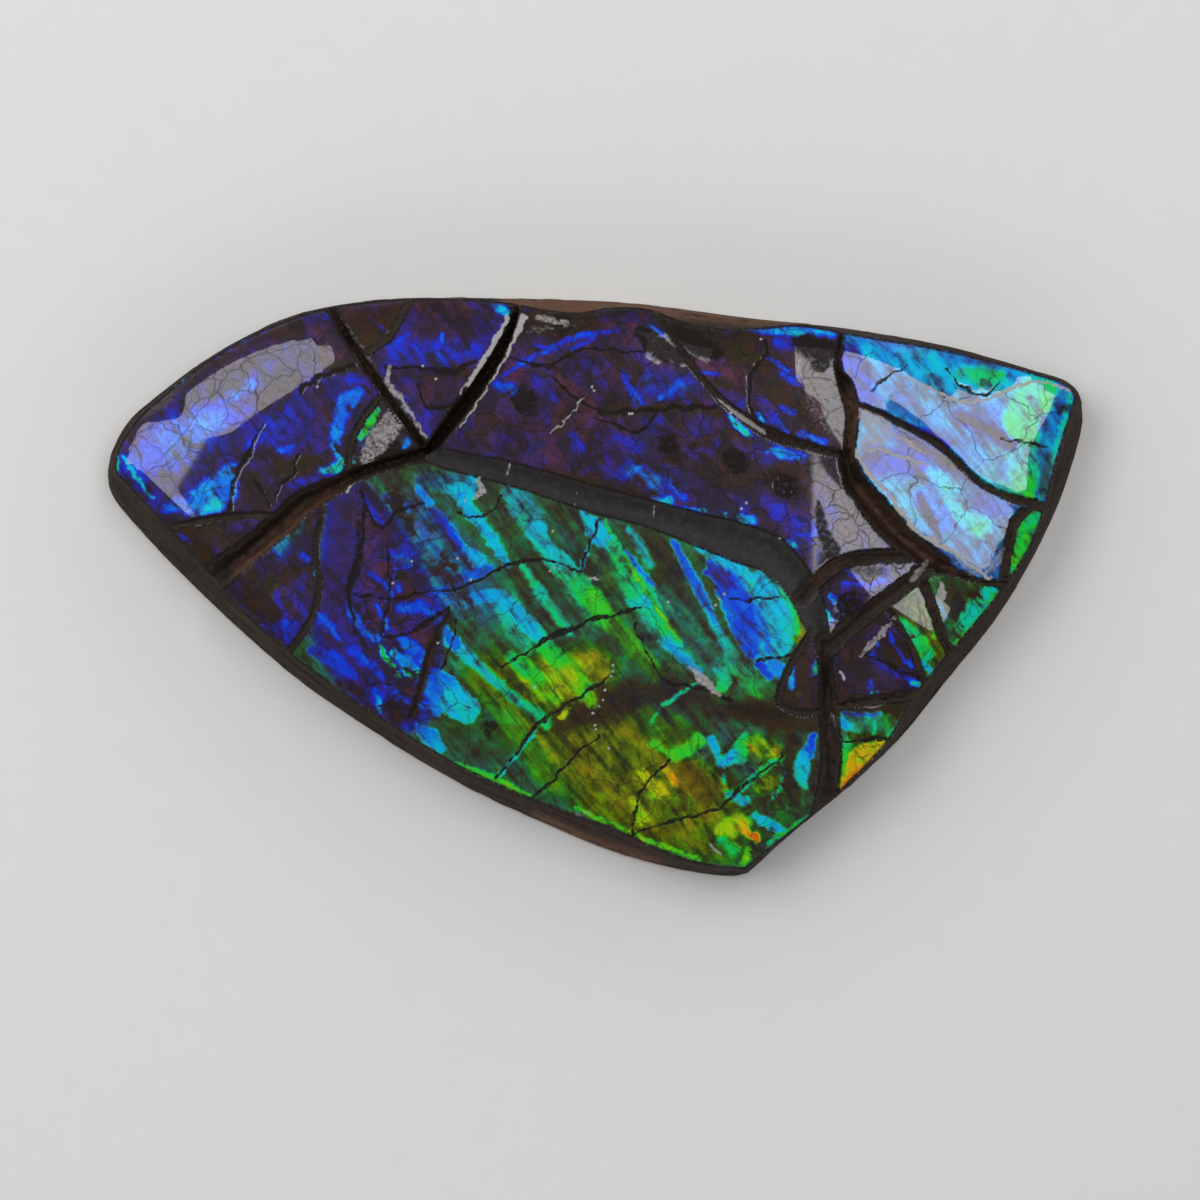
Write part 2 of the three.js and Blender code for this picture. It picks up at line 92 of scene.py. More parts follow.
# The cracks between the plates. Each has its course as x, y and width, how deep its fill lies at the
# edge and in the middle, how rough its edge is, and how grey its fill is, from brown to polished grey.
CRACKS = {
    "main_trough": dict(edge=0.35, depth=1.7, rough=0.16, grey=0.0, course=(
        (-42.0, -2.4, 2.6), (-38.7, 0.4, 2.6), (-36.7, 2.1, 2.6), (-34.3, 3.9, 2.2), (-31.5, 6.3, 2.4),
        (-28.7, 8.7, 2.2), (-26.0, 10.1, 1.6), (-23.0, 11.6, 1.3), (-16.7, 13.5, 1.3))),
    "sliver_crack": dict(edge=0.2, depth=0.4, rough=0.08, grey=0.0, course=(
        (-46.5, 5.2, 0.5), (-41.5, 6.2, 0.5), (-36.5, 7.1, 0.5), (-31.0, 7.2, 0.5))),
    "shattered_groove": dict(edge=0.3, depth=1.2, rough=0.14, grey=0.1, course=(
        (-28.0, 30.0, 0.8), (-26.3, 27.5, 0.8), (-24.7, 24.9, 0.9), (-21.5, 20.2, 0.9),
        (-18.3, 15.7, 0.9), (-16.5, 13.4, 0.9))),
    "branch_crack": dict(edge=0.2, depth=0.5, rough=0.08, grey=0.1, course=(
        (-23.5, 23.0, 0.5), (-20.7, 24.9, 0.5), (-19.5, 26.9, 0.5), (-17.9, 30.0, 0.5))),
    "vein_crack": dict(edge=0.1, depth=0.3, rough=0.08, grey=0.3, course=(
        (-25.0, 10.2, 0.4), (-24.6, 12.7, 0.4), (-24.3, 14.7, 0.4), (-23.4, 16.5, 0.4),
        (-20.9, 19.9, 0.4))),
    "deep_groove": dict(edge=0.7, depth=2.6, rough=0.07, grey=0.0, course=(
        (-7.4, 30.2, 0.8), (-8.1, 26.9, 0.9), (-9.0, 24.5, 1.1), (-12.1, 19.5, 1.5),
        (-13.9, 17.2, 1.5), (-16.7, 13.4, 1.2))),
    "long_crack": dict(edge=0.2, depth=0.6, rough=0.1, grey=0.2, course=(
        (4.5, 30.0, 0.5), (6.5, 26.9, 0.5), (9.7, 22.1, 0.5), (12.7, 18.6, 0.6), (17.3, 15.4, 1.0),
        (22.0, 13.9, 0.7), (25.6, 13.0, 0.8))),
    "grey_band": dict(edge=0.03, depth=0.1, rough=0.06, grey=1.0, course=(
        (-17.0, 13.4, 1.4), (-14.5, 12.7, 1.7), (-8.0, 11.2, 2.1), (0.5, 8.6, 2.4), (5.5, 7.3, 2.4),
        (10.5, 5.7, 3.0), (14.5, 4.4, 3.6), (17.7, 3.2, 3.4), (19.7, 1.2, 3.0), (21.2, -1.3, 2.6),
        (22.9, -6.6, 1.4))),
    "right_band": dict(edge=0.25, depth=0.7, rough=0.12, grey=0.3, course=(
        (22.7, -6.9, 1.4), (25.0, -4.5, 1.6), (29.5, -0.9, 1.4), (34.5, 2.7, 1.2))),
    "down_band": dict(edge=0.3, depth=0.9, rough=0.1, grey=0.2, course=(
        (22.9, -5.6, 1.2), (23.1, -9.3, 1.2), (23.4, -12.8, 1.7), (23.5, -18.8, 1.8), (22.0, -25.8, 2.0))),
    "cross_crack": dict(edge=0.2, depth=0.6, rough=0.12, grey=0.0, course=(
        (36.0, -9.9, 0.6), (31.0, -11.0, 0.7), (26.0, -11.5, 0.9), (22.6, -12.1, 0.9))),
    "rough_groove": dict(edge=0.35, depth=1.8, rough=0.2, grey=0.0, course=(
        (25.1, 13.5, 1.4), (25.7, 10.9, 2.0), (27.3, 8.7, 2.4), (29.3, 6.3, 2.6), (31.5, 4.2, 2.4),
        (34.8, 2.0, 1.6))),
    "valley_crack": dict(edge=0.2, depth=0.5, rough=0.1, grey=0.0, course=(
        (25.2, 18.6, 0.6), (29.0, 17.1, 0.5), (34.5, 14.1, 0.6), (39.0, 10.1, 0.5), (44.5, 8.1, 0.8),
        (50.0, 7.2, 1.0))),
    "brown_strip": dict(edge=0.25, depth=0.8, rough=0.14, grey=0.0, course=(
        (25.4, 28.0, 0.5), (24.5, 24.2, 0.6), (24.3, 21.9, 0.7), (25.1, 19.9, 1.2), (25.7, 17.9, 1.2),
        (25.2, 12.9, 0.9))),
    "edge_notch": dict(edge=0.2, depth=0.6, rough=0.12, grey=0.0, course=(
        (44.3, 8.5, 0.7), (42.1, 6.7, 0.8), (41.4, 4.2, 0.8), (40.6, -0.1, 0.6))),
    "ridge_foot": dict(edge=0.3, depth=0.9, rough=0.14, grey=0.0, course=(
        (34.1, 2.3, 1.2), (36.5, 1.2, 0.7), (39.0, 0.5, 0.6), (41.7, 0.6, 0.8), (46.5, 2.6, 1.0))),
    "olive_crack": dict(edge=0.2, depth=0.7, rough=0.14, grey=0.0, course=(
        (32.1, 1.8, 0.8), (33.3, -0.9, 0.8), (34.9, -5.3, 0.7), (37.2, -9.0, 0.6))),
    "triangle_crack": dict(edge=0.1, depth=0.4, rough=0.1, grey=0.0, course=(
        (28.6, -1.2, 0.4), (31.7, -6.3, 0.4), (33.4, -11.2, 0.4))),
    "left_crack": dict(edge=0.15, depth=0.5, rough=0.1, grey=0.0, course=(
        (-27.3, 10.4, 0.4), (-27.2, 7.9, 0.4), (-27.9, 3.7, 0.5), (-27.5, 0.2, 0.4), (-28.3, -3.1, 0.5),
        (-32.0, -8.2, 0.5))),
    "forked_crack": dict(edge=0.15, depth=0.5, rough=0.1, grey=0.4, course=(
        (22.6, -2.6, 0.5), (20.7, -5.8, 0.4), (19.1, -8.7, 0.5), (18.4, -11.6, 0.5), (20.6, -12.6, 0.6),
        (24.2, -12.2, 0.6))),
    "chip_crack": dict(edge=0.25, depth=0.7, rough=0.14, grey=0.5, course=(
        (20.7, -1.1, 1.2), (22.7, 1.2, 1.1), (25.2, 2.7, 1.1), (31.3, 3.2, 1.2))),
}

# The shell plates: the solid each stands for, a point inside it, its lift and its slope. The ridge,
# triangle, olive and green plates tilt otherwise than their solids, and the last two lie a little lower,
# for what their polish mirrors.
PLATES = {
    "shell_left_lobe": dict(at=(-39.5, 15.7), lift=0.05, slope=(0.0, 0.0)),
    "shell_left_sliver": dict(at=(-37.0, 5.4), lift=-0.1, slope=(0.0, 0.01)),
    "shell_brown_wedge": dict(at=(-22.0, 26.6), lift=-0.15, slope=(0.01, 0.0)),
    "shell_calcite_chip": dict(at=(-22.0, 14.2), lift=-0.2, slope=(0.0, 0.0)),
    "shell_top_left": dict(at=(-14.5, 23.7), lift=0.0, slope=(0.008, 0.0)),
    "shell_upper_middle": dict(at=(2.5, 16.7), lift=0.0, slope=(0.0, 0.0)),
    "shell_shoulder": dict(at=(17.0, 21.7), lift=0.1, slope=(0.006, 0.0)),
    "shell_corner": dict(at=(38.5, 18.7), lift=0.1, slope=(-0.006, 0.008)),
    "shell_ridge": dict(at=(33.5, 9.7), lift=0.15, slope=(-0.014, 0.010)),
    "shell_right_edge": dict(at=(43.0, 4.6), lift=-0.15, slope=(0.0, 0.0)),
    "shell_ribbed": dict(at=(-3.5, -6.3), lift=0.0, slope=(0.0, 0.0)),
    "shell_lower_left": dict(at=(-32.0, -0.3), lift=-0.05, slope=(0.006, 0.0)),
    "shell_wedge": dict(at=(21.2, -9.0), lift=-0.05, slope=(0.0, 0.0)),
    "shell_rough_chip": dict(at=(25.5, -0.8), lift=-0.2, slope=(0.012, 0.0)),
    "shell_triangle": dict(at=(28.5, -7.8), lift=-0.05, slope=(0.0, 0.04)),
    "shell_olive": dict(at=(32.0, -4.4), lift=-0.15, slope=(0.0, 0.05)),
    "shell_green": dict(at=(37.3, -2.3), lift=-0.1, slope=(0.0, 0.04)),
    "shell_fan": dict(at=(27.0, -15.8), lift=0.0, slope=(0.0, 0.0)),
}

# The soft waves of the right-hand plates, longer and lower than those of the solids.
WAVE_FROM = 22.0
WAVE_LENGTH = 12.0
WAVE_HEIGHT = 0.13
WAVE_SKEW = 0.73
WAVE_TURN = -1.89


# The marks on the shell, laid over each plate's ground in the order given. A course is x, y and width.

def flash(hue, until, strength, soft, *course):
    """Interference colour along a course: 0 magenta, 0.15 indigo, 0.3 blue, 0.5 cyan, 0.7 green, 1 orange."""
    return dict(course=course, soft=soft, hue=(hue, until), flash=(strength, strength))


def stain(body, strength, soft, *course):
    """A patch where the body shows: 0 dusky violet, 0.25 umber, 0.5 rust, 0.75 olive, 1 olive gold."""
    mark = dict(course=course, soft=soft, body=(body, body), flash=(strength, strength))
    if body < 0.3 or body > 0.68:
        hue = float(np.interp(body, (0.0, 0.3, 0.68, 1.0), (0.12, 0.05, 0.78, 0.86)))
        mark["hue"] = (hue, hue)
    return mark


def shatter(strength, soft, *course):
    """Shell broken to a fine mosaic."""
    return dict(course=course, soft=soft, broken=(strength, strength))


def rust(strength, soft, *course):
    """Rusty tan patches of the rock."""
    return dict(course=course, soft=soft, rust=(strength, strength))


def calcite(strength, soft, *course):
    """Whitish calcite in and along the breaks, and painted white highlights where lips and crests mirror a
    soft box.
    """
    return dict(course=course, soft=soft, chalk_and_highlight=(strength, strength))


def grime(strength, soft, *course):
    """Dark clay left in hollows."""
    return dict(course=course, soft=soft, dirt=(strength, strength))


# Each plate's ground: hue, flash, body tone, how broken its mosaic is, and how far the hue wanders.
GROUNDS = {
    "shell_left_lobe": (0.14, 0.34, 0.16, 0.60, 0.08),
    "shell_left_sliver": (0.10, 0.15, 0.30, 0.90, 0.10),
    "shell_brown_wedge": (0.02, 0.12, 0.45, 0.40, 0.05),
    "shell_calcite_chip": (0.40, 0.10, 0.35, 0.60, 0.10),
    "shell_top_left": (0.11, 0.36, 0.14, 0.60, 0.08),
    "shell_upper_middle": (0.08, 0.36, 0.18, 0.80, 0.09),
    "shell_shoulder": (0.06, 0.20, 0.35, 0.70, 0.10),
    "shell_corner": (0.42, 0.50, 0.12, 0.25, 0.06),
    "shell_ridge": (0.42, 0.42, 0.14, 0.30, 0.07),
    "shell_right_edge": (0.62, 0.50, 0.60, 0.50, 0.08),
    "shell_ribbed": (0.60, 0.20, 0.56, 0.35, 0.06),
    "shell_lower_left": (0.14, 0.22, 0.18, 0.80, 0.08),
    "shell_wedge": (0.06, 0.12, 0.45, 0.50, 0.06),
    "shell_rough_chip": (0.12, 0.25, 0.15, 1.00, 0.12),
    "shell_triangle": (0.10, 0.20, 0.26, 0.70, 0.06),
    "shell_olive": (0.72, 0.20, 0.72, 0.60, 0.08),
    "shell_green": (0.60, 0.25, 0.55, 0.50, 0.08),
    "shell_fan": (0.66, 0.30, 0.65, 0.40, 0.08),
}

MARKS = {
    "shell_left_lobe": (
        stain(0.28, 0.12, 0.8, (-46.8, 15.5, 1.0), (-42.0, 20.0, 1.2), (-36.0, 23.8, 1.6),
              (-30.0, 26.2, 2.2)),
        flash(0.30, 0.38, 0.78, 1.6, (-45.0, 12.6, 2.6), (-41.5, 14.8, 4.6), (-38.0, 16.6, 2.8)),
        flash(0.15, 0.15, 0.60, 0.8, (-33.6, 21.8, 1.6), (-32.4, 22.6, 1.6)),
        flash(0.40, 0.36, 0.75, 0.6, (-36.4, 19.0, 0.9), (-34.4, 20.2, 1.4)),
        stain(0.20, 0.30, 1.2, (-38.0, 21.0, 2.0), (-33.0, 24.0, 2.4)),
        flash(0.20, 0.16, 0.60, 1.0, (-34.4, 14.0, 1.2), (-32.0, 15.6, 2.0), (-30.0, 17.0, 1.4)),
        flash(0.36, 0.38, 0.98, 0.5, (-42.8, 7.9, 1.2), (-40.0, 8.5, 2.4), (-37.9, 9.5, 3.4),
              (-36.5, 11.3, 2.0)),
        flash(0.46, 0.48, 0.90, 0.5, (-39.4, 7.4, 0.8), (-38.0, 8.2, 1.4)),
        flash(0.42, 0.44, 0.90, 0.2, (-35.3, 11.4, 0.3), (-35.9, 9.6, 0.5), (-36.4, 8.2, 0.3)),
        stain(0.22, 0.10, 0.8, (-34.4, 10.6, 2.4), (-33.4, 8.6, 2.6)),
        stain(0.60, 0.06, 0.9, (-31.0, 11.6, 2.2), (-28.6, 12.6, 2.2)),
        flash(0.18, 0.14, 0.70, 0.3, (-31.0, 10.0, 0.5), (-28.5, 10.6, 0.9), (-26.8, 10.8, 0.6)),
        flash(0.34, 0.30, 0.80, 0.3, (-31.6, 13.6, 0.4), (-30.4, 13.9, 0.6)),
        flash(0.10, 0.08, 0.42, 1.0, (-27.8, 20.0, 1.6), (-27.2, 16.0, 2.2), (-27.0, 13.4, 1.4)),
        flash(0.00, 0.02, 0.55, 0.8, (-27.6, 25.6, 1.8), (-26.4, 23.2, 2.6)),
        stain(0.50, 0.08, 0.8, (-27.0, 22.4, 1.0), (-24.8, 21.8, 1.8), (-23.8, 21.6, 1.2)),
        flash(0.16, 0.14, 0.75, 0.4, (-24.6, 20.9, 0.8), (-22.6, 20.4, 0.9)),
        flash(0.34, 0.44, 0.98, 0.3, (-23.4, 19.6, 0.8), (-24.6, 18.6, 2.0), (-25.6, 16.4, 1.4),
              (-25.8, 13.6, 1.0),
              (-25.2, 12.4, 0.8)),
        flash(0.52, 0.58, 0.90, 0.3, (-27.4, 11.6, 0.8), (-26.0, 11.8, 1.2), (-25.2, 12.6, 0.8)),
        flash(0.38, 0.42, 0.90, 0.2, (-38.4, 23.0, 0.4), (-34.0, 25.5, 0.4), (-29.6, 27.3, 0.4)),
        flash(0.82, 0.68, 0.95, 0.2, (-42.6, 20.0, 0.4), (-40.4, 21.6, 0.5)),
        flash(0.66, 0.64, 0.95, 0.2, (-47.9, 13.8, 0.5), (-48.0, 11.8, 0.5)),
        flash(0.50, 0.50, 0.85, 0.2, (-47.3, 13.2, 0.4), (-45.0, 9.6, 0.5), (-44.2, 8.9, 0.4)),
    ),
    "shell_left_sliver": (
        stain(0.42, 0.06, 0.5, (-44.0, 5.4, 0.6), (-39.0, 5.6, 1.0), (-36.0, 4.6, 1.2)),
        flash(0.06, 0.10, 0.50, 0.3, (-37.0, 5.6, 0.6), (-34.6, 6.4, 0.9), (-33.2, 6.8, 0.4)),
        flash(0.24, 0.20, 0.70, 0.3, (-41.6, 5.0, 0.7), (-40.6, 4.4, 0.5)),
        stain(0.30, 0.02, 0.4, (-40.2, 2.6, 0.6), (-37.4, 2.8, 0.8), (-35.0, 4.4, 0.5)),
    ),
    "shell_brown_wedge": (
        stain(0.48, 0.04, 0.7, (-24.0, 25.6, 1.4), (-22.2, 24.6, 1.8), (-21.4, 23.4, 1.0)),
        flash(0.02, 0.04, 0.35, 0.6, (-25.0, 27.6, 0.7), (-21.0, 28.6, 0.7), (-18.6, 28.6, 0.6)),
        flash(0.18, 0.20, 0.80, 0.15, (-22.8, 27.2, 0.2), (-20.9, 25.7, 0.2)),
        calcite(0.80, 0.2, (-20.6, 25.4, 0.5), (-19.9, 25.0, 0.9), (-19.5, 24.6, 0.4)),
        # Painted highlight: a thin white line along a lip of the shattered groove.
        calcite(0.60, 0.2, (-26.2, 27.2, 0.5), (-24.9, 25.2, 0.4), (-23.2, 22.8, 0.3)),
    ),
    "shell_calcite_chip": (
        calcite(0.50, 0.5, (-18.4, 19.0, 1.6), (-19.6, 17.2, 2.4), (-21.4, 15.0, 2.6), (-22.8, 12.8, 1.8)),
        stain(0.30, 0.02, 0.3, (-21.4, 19.6, 0.4), (-22.6, 18.0, 0.6), (-23.8, 15.6, 0.7),
              (-24.2, 13.6, 0.4)),
        flash(0.70, 0.74, 1.00, 0.25, (-21.7, 17.8, 0.4), (-22.5, 16.4, 0.9), (-23.5, 14.9, 0.5)),
        stain(0.50, 0.05, 0.3, (-18.6, 16.6, 0.3), (-20.4, 14.6, 0.7), (-21.6, 13.0, 0.8),
              (-23.0, 12.1, 0.6)),
        flash(0.40, 0.46, 0.90, 0.2, (-18.4, 15.2, 0.4), (-19.2, 13.4, 0.7)),
        flash(0.55, 0.52, 1.00, 0.2, (-24.8, 13.8, 0.5), (-24.4, 12.4, 0.9)),
    ),
    "shell_top_left": (
        stain(0.25, 0.22, 0.9, (-20.6, 28.0, 1.4), (-15.0, 28.2, 1.6), (-10.6, 27.6, 1.4)),
        flash(0.04, 0.06, 0.50, 0.6, (-18.6, 28.4, 0.6), (-14.0, 28.4, 0.9), (-11.0, 27.8, 0.7)),
        flash(0.22, 0.20, 0.62, 1.2, (-20.0, 23.4, 1.6), (-16.0, 23.6, 2.6), (-12.4, 23.6, 1.6)),
        stain(0.10, 0.22, 1.0, (-14.6, 26.6, 2.2), (-11.6, 25.8, 2.2)),
        flash(0.36, 0.36, 0.85, 0.2, (-15.3, 25.4, 0.5), (-15.2, 24.6, 0.5)),
        flash(0.28, 0.30, 0.70, 0.3, (-20.4, 24.0, 0.4), (-18.6, 25.4, 0.3)),
        stain(0.30, 0.10, 0.6, (-20.4, 21.4, 0.5), (-15.0, 21.0, 1.0), (-12.6, 21.4, 0.6)),
        flash(0.03, 0.06, 0.42, 0.8, (-18.6, 19.6, 1.8), (-15.0, 19.4, 2.6), (-13.0, 20.4, 1.2)),
        flash(0.12, 0.10, 0.70, 0.3, (-19.0, 18.6, 0.9), (-17.2, 17.2, 1.2), (-16.8, 15.4, 0.8)),
        flash(0.40, 0.44, 0.95, 0.2, (-10.4, 28.3, 0.7), (-8.6, 27.4, 0.9)),
        # Painted highlight: a white line along the left lip of the deep groove.
        calcite(0.82, 0.12, (-8.8, 27.0, 0.5), (-10.0, 24.6, 0.6), (-11.6, 21.9, 0.5), (-13.4, 19.4, 0.2)),
        # Painted highlight: a white line along a lip of the shattered groove.
        calcite(0.60, 0.2, (-20.4, 22.0, 0.6), (-20.8, 20.6, 0.6), (-19.4, 18.8, 0.6), (-17.0, 15.0, 0.3)),
    ),
    "shell_upper_middle": (
        stain(0.42, 0.05, 0.8, (-6.8, 26.4, 2.4), (-3.0, 26.2, 3.0), (0.6, 26.8, 1.6)),
        calcite(0.28, 0.4, (-6.6, 25.6, 0.8), (-3.6, 26.0, 0.8), (-1.4, 26.6, 0.5)),
        flash(0.01, 0.03, 0.50, 0.7, (-9.0, 21.4, 1.4), (-5.0, 22.8, 1.6)),
        flash(0.26, 0.30, 0.85, 0.2, (-9.6, 20.9, 0.4), (-5.4, 23.4, 0.5), (-2.6, 24.8, 0.6),
              (0.6, 25.6, 0.5)),
        flash(0.20, 0.24, 0.75, 0.2, (-6.0, 24.2, 0.3), (-3.0, 23.6, 0.6), (-0.6, 24.6, 0.4)),
        flash(0.34, 0.38, 0.90, 0.4, (-9.6, 20.2, 0.8), (-8.2, 19.6, 1.2)),
        flash(0.02, 0.05, 0.42, 0.9, (0.4, 26.4, 1.4), (4.0, 25.6, 2.6), (6.4, 24.4, 1.8)),
        flash(0.30, 0.28, 0.85, 0.3, (-0.4, 25.0, 0.5), (2.4, 25.8, 0.7)),
        flash(0.36, 0.34, 0.90, 0.2, (5.2, 26.6, 0.5), (7.0, 24.6, 0.7)),
        flash(0.00, 0.03, 0.45, 0.5, (-4.4, 21.2, 0.7), (-1.8, 19.6, 1.4)),
        flash(0.30, 0.31, 0.88, 0.4, (2.8, 21.6, 0.6), (3.4, 20.0, 0.9), (4.3, 18.4, 1.3)),
        flash(0.30, 0.26, 0.38, 1.2, (5.6, 20.6, 2.4), (9.0, 19.8, 2.8)),
        flash(0.34, 0.30, 0.75, 0.3, (6.6, 18.9, 0.5), (8.6, 20.2, 0.6)),
        stain(0.45, 0.04, 0.5, (0.4, 17.4, 0.6), (5.0, 17.6, 0.8), (9.0, 18.0, 0.8), (12.4, 17.4, 1.0)),
        flash(0.20, 0.22, 0.62, 0.6, (-2.4, 15.8, 0.8), (-1.4, 13.6, 1.2), (-0.4, 12.2, 1.0)),
        flash(0.17, 0.20, 0.50, 0.8, (0.6, 15.0, 1.6), (4.2, 14.0, 2.0)),
        flash(0.38, 0.42, 0.45, 1.0, (3.4, 11.6, 1.8), (6.0, 10.4, 2.4)),
        flash(0.40, 0.42, 0.85, 0.2, (3.6, 11.4, 0.4), (4.6, 12.0, 0.4)),
        flash(0.30, 0.34, 0.80, 0.4, (7.0, 12.0, 0.5), (7.9, 9.8, 0.8), (9.0, 8.8, 0.6)),
        flash(0.20, 0.18, 0.55, 0.6, (9.2, 14.8, 0.6), (10.8, 12.0, 0.8), (12.4, 9.6, 0.8)),
        flash(0.16, 0.20, 0.50, 0.6, (12.0, 14.4, 0.8), (16.4, 13.2, 0.8), (17.6, 10.4, 1.0)),
        stain(0.48, 0.05, 0.7, (-4.6, 11.6, 0.7), (-1.0, 10.4, 1.2), (3.6, 9.4, 0.8)),
        stain(0.20, 0.10, 1.0, (11.0, 11.4, 2.2), (15.0, 10.2, 2.6), (19.0, 11.8, 2.2)),
        flash(0.50, 0.48, 0.95, 0.15, (-5.6, 11.4, 0.3), (-1.0, 9.8, 0.4), (3.0, 8.9, 0.3)),
        flash(0.44, 0.46, 0.95, 0.3, (5.4, 8.5, 0.7), (7.4, 8.6, 1.0)),
        flash(0.42, 0.46, 0.85, 0.2, (8.4, 8.0, 0.3), (12.0, 7.4, 0.6), (15.8, 6.6, 1.0)),
        flash(0.36, 0.40, 0.80, 0.2, (9.6, 6.9, 0.3), (13.6, 6.0, 0.4)),
        flash(0.12, 0.20, 0.68, 0.9, (18.4, 7.8, 1.6), (20.6, 5.4, 2.8), (22.0, 3.0, 2.0)),
        flash(0.30, 0.28, 0.85, 0.3, (20.0, 5.0, 0.4), (22.8, 5.4, 0.8)),
        flash(0.50, 0.50, 0.95, 0.3, (19.3, 4.4, 0.7), (20.2, 3.9, 0.7)),
        flash(0.06, 0.08, 0.50, 0.4, (14.4, 14.6, 0.7), (17.6, 12.8, 0.8)),
        flash(0.48, 0.50, 0.95, 0.2, (13.4, 17.2, 0.3), (14.4, 16.0, 0.7), (15.6, 14.9, 0.4)),
        flash(0.36, 0.34, 0.95, 0.3, (17.4, 13.6, 0.8), (20.4, 13.0, 1.2)),
        grime(0.75, 0.7, (-7.4, 19.2, 2.2), (-6.6, 18.0, 2.4)),
        grime(0.60, 0.8, (-5.0, 25.6, 1.2), (0.0, 27.0, 1.0), (5.0, 27.4, 1.4), (8.0, 26.0, 1.6)),
        grime(0.95, 0.5, (4.6, 25.4, 1.6), (6.4, 24.0, 2.4), (8.6, 22.8, 1.6)),
        grime(0.85, 0.3, (22.3, 8.4, 0.5), (22.7, 5.8, 1.3), (23.8, 3.4, 1.7)),
        grime(0.70, 0.6, (13.6, 12.8, 2.2), (14.4, 12.4, 2.4)),
        grime(0.60, 0.8, (6.8, 15.4, 1.6), (7.8, 13.2, 2.2)),
        grime(0.55, 1.0, (18.4, 10.8, 2.4), (19.8, 9.4, 2.6)),
        grime(0.50, 0.6, (-16.0, 14.0, 0.8), (-12.0, 14.2, 1.4), (-9.0, 13.4, 0.8)),
        # Painted highlight: a white line along the right lip of the deep groove.
        calcite(0.85, 0.12, (-7.2, 26.9, 0.8), (-8.2, 24.6, 0.4), (-10.3, 20.6, 0.2), (-13.4, 16.0, 0.2)),
        calcite(0.55, 0.2, (-5.6, 27.0, 0.8), (-3.0, 26.4, 0.5)),
        calcite(0.75, 0.1, (-1.0, 19.0, 0.15), (-2.6, 17.0, 0.2), (-4.4, 15.4, 0.15)),
        calcite(0.50, 0.2, (7.0, 25.2, 0.6), (8.0, 24.0, 0.3)),
    ),
    "shell_shoulder": (
        stain(0.46, 0.03, 1.0, (8.8, 25.0, 2.0), (12.0, 24.0, 2.6), (15.0, 24.4, 1.8)),
        flash(0.00, 0.01, 0.55, 0.5, (10.6, 22.6, 1.2), (13.0, 21.8, 2.0), (15.4, 20.6, 1.2)),
        stain(0.52, 0.03, 0.5, (12.4, 23.4, 0.5), (15.6, 22.8, 1.2), (17.4, 22.0, 1.2)),
        flash(0.28, 0.26, 0.80, 0.2, (10.8, 21.4, 0.4), (12.6, 21.2, 0.3)),
        flash(0.16, 0.14, 0.60, 0.5, (12.6, 19.6, 0.8), (14.6, 18.4, 1.2)),
        flash(0.40, 0.44, 0.95, 0.3, (15.6, 25.8, 0.4), (19.0, 25.6, 1.0), (22.0, 25.6, 0.8),
              (24.0, 25.2, 0.5)),
        flash(0.22, 0.20, 0.60, 0.6, (18.4, 24.2, 1.4), (20.6, 24.4, 1.0)),
        flash(0.30, 0.32, 0.85, 0.2, (17.4, 22.9, 0.5), (19.4, 21.6, 0.6)),
        flash(0.28, 0.24, 0.80, 0.3, (18.6, 21.2, 0.7), (20.4, 20.4, 0.9)),
        stain(0.46, 0.05, 0.6, (16.4, 20.6, 1.4), (19.0, 18.8, 1.8), (21.0, 17.4, 1.6)),
        flash(0.10, 0.28, 0.85, 0.3, (16.4, 18.6, 0.9), (17.8, 16.8, 1.4), (19.2, 15.4, 1.0)),
        flash(0.52, 0.56, 0.90, 0.2, (16.4, 17.2, 0.4), (17.0, 16.2, 0.5)),
        flash(0.28, 0.34, 0.80, 0.3, (18.6, 18.0, 0.4), (20.0, 17.4, 0.6)),
        flash(0.34, 0.36, 0.85, 0.3, (20.4, 15.4, 0.6), (22.8, 14.4, 0.8)),
        grime(0.95, 0.5, (8.2, 25.2, 2.4), (10.4, 24.2, 2.4), (12.2, 23.4, 1.6)),
        grime(0.58, 0.8, (7.6, 25.8, 2.4), (12.0, 25.2, 1.6), (17.0, 25.6, 0.8)),
        grime(0.90, 0.6, (20.6, 24.4, 2.2), (22.4, 23.8, 2.6), (24.2, 23.6, 2.2)),
        # Painted reflection: a milky white haze over the shoulder's right flank and a ragged white bit at its
        # top, standing for a mirrored soft box.
        calcite(0.30, 1.0, (21.6, 20.8, 2.4), (22.6, 18.6, 3.6), (23.6, 16.0, 2.4)),
        calcite(0.75, 0.2, (20.4, 22.8, 0.3), (20.2, 22.0, 0.5), (20.6, 21.2, 0.3)),
    ),
    "shell_corner": (
        flash(0.24, 0.28, 0.70, 0.6, (25.6, 23.4, 1.8), (26.4, 20.8, 2.6), (27.2, 18.8, 1.6)),
        stain(0.20, 0.15, 0.5, (24.9, 21.0, 0.8), (25.4, 19.4, 0.8)),
        flash(0.44, 0.50, 0.80, 0.8, (27.4, 23.6, 1.6), (32.0, 22.4, 2.8), (36.5, 20.8, 3.0),
              (41.0, 20.0, 2.0)),
        flash(0.40, 0.42, 0.95, 0.2, (24.6, 25.3, 0.4), (28.4, 24.9, 0.5)),
        flash(0.58, 0.62, 0.85, 0.6, (36.4, 21.4, 1.0), (38.6, 21.0, 2.0), (40.6, 21.2, 1.0)),
        flash(0.54, 0.64, 0.85, 0.6, (44.0, 20.2, 2.6), (42.8, 17.4, 3.6), (42.6, 14.8, 3.6)),
        flash(0.62, 0.64, 0.95, 0.5, (45.6, 20.0, 1.2), (45.0, 18.0, 1.4)),
        flash(0.52, 0.66, 0.85, 0.6, (42.4, 13.0, 3.0), (43.0, 11.0, 3.2), (42.6, 9.0, 2.0)),
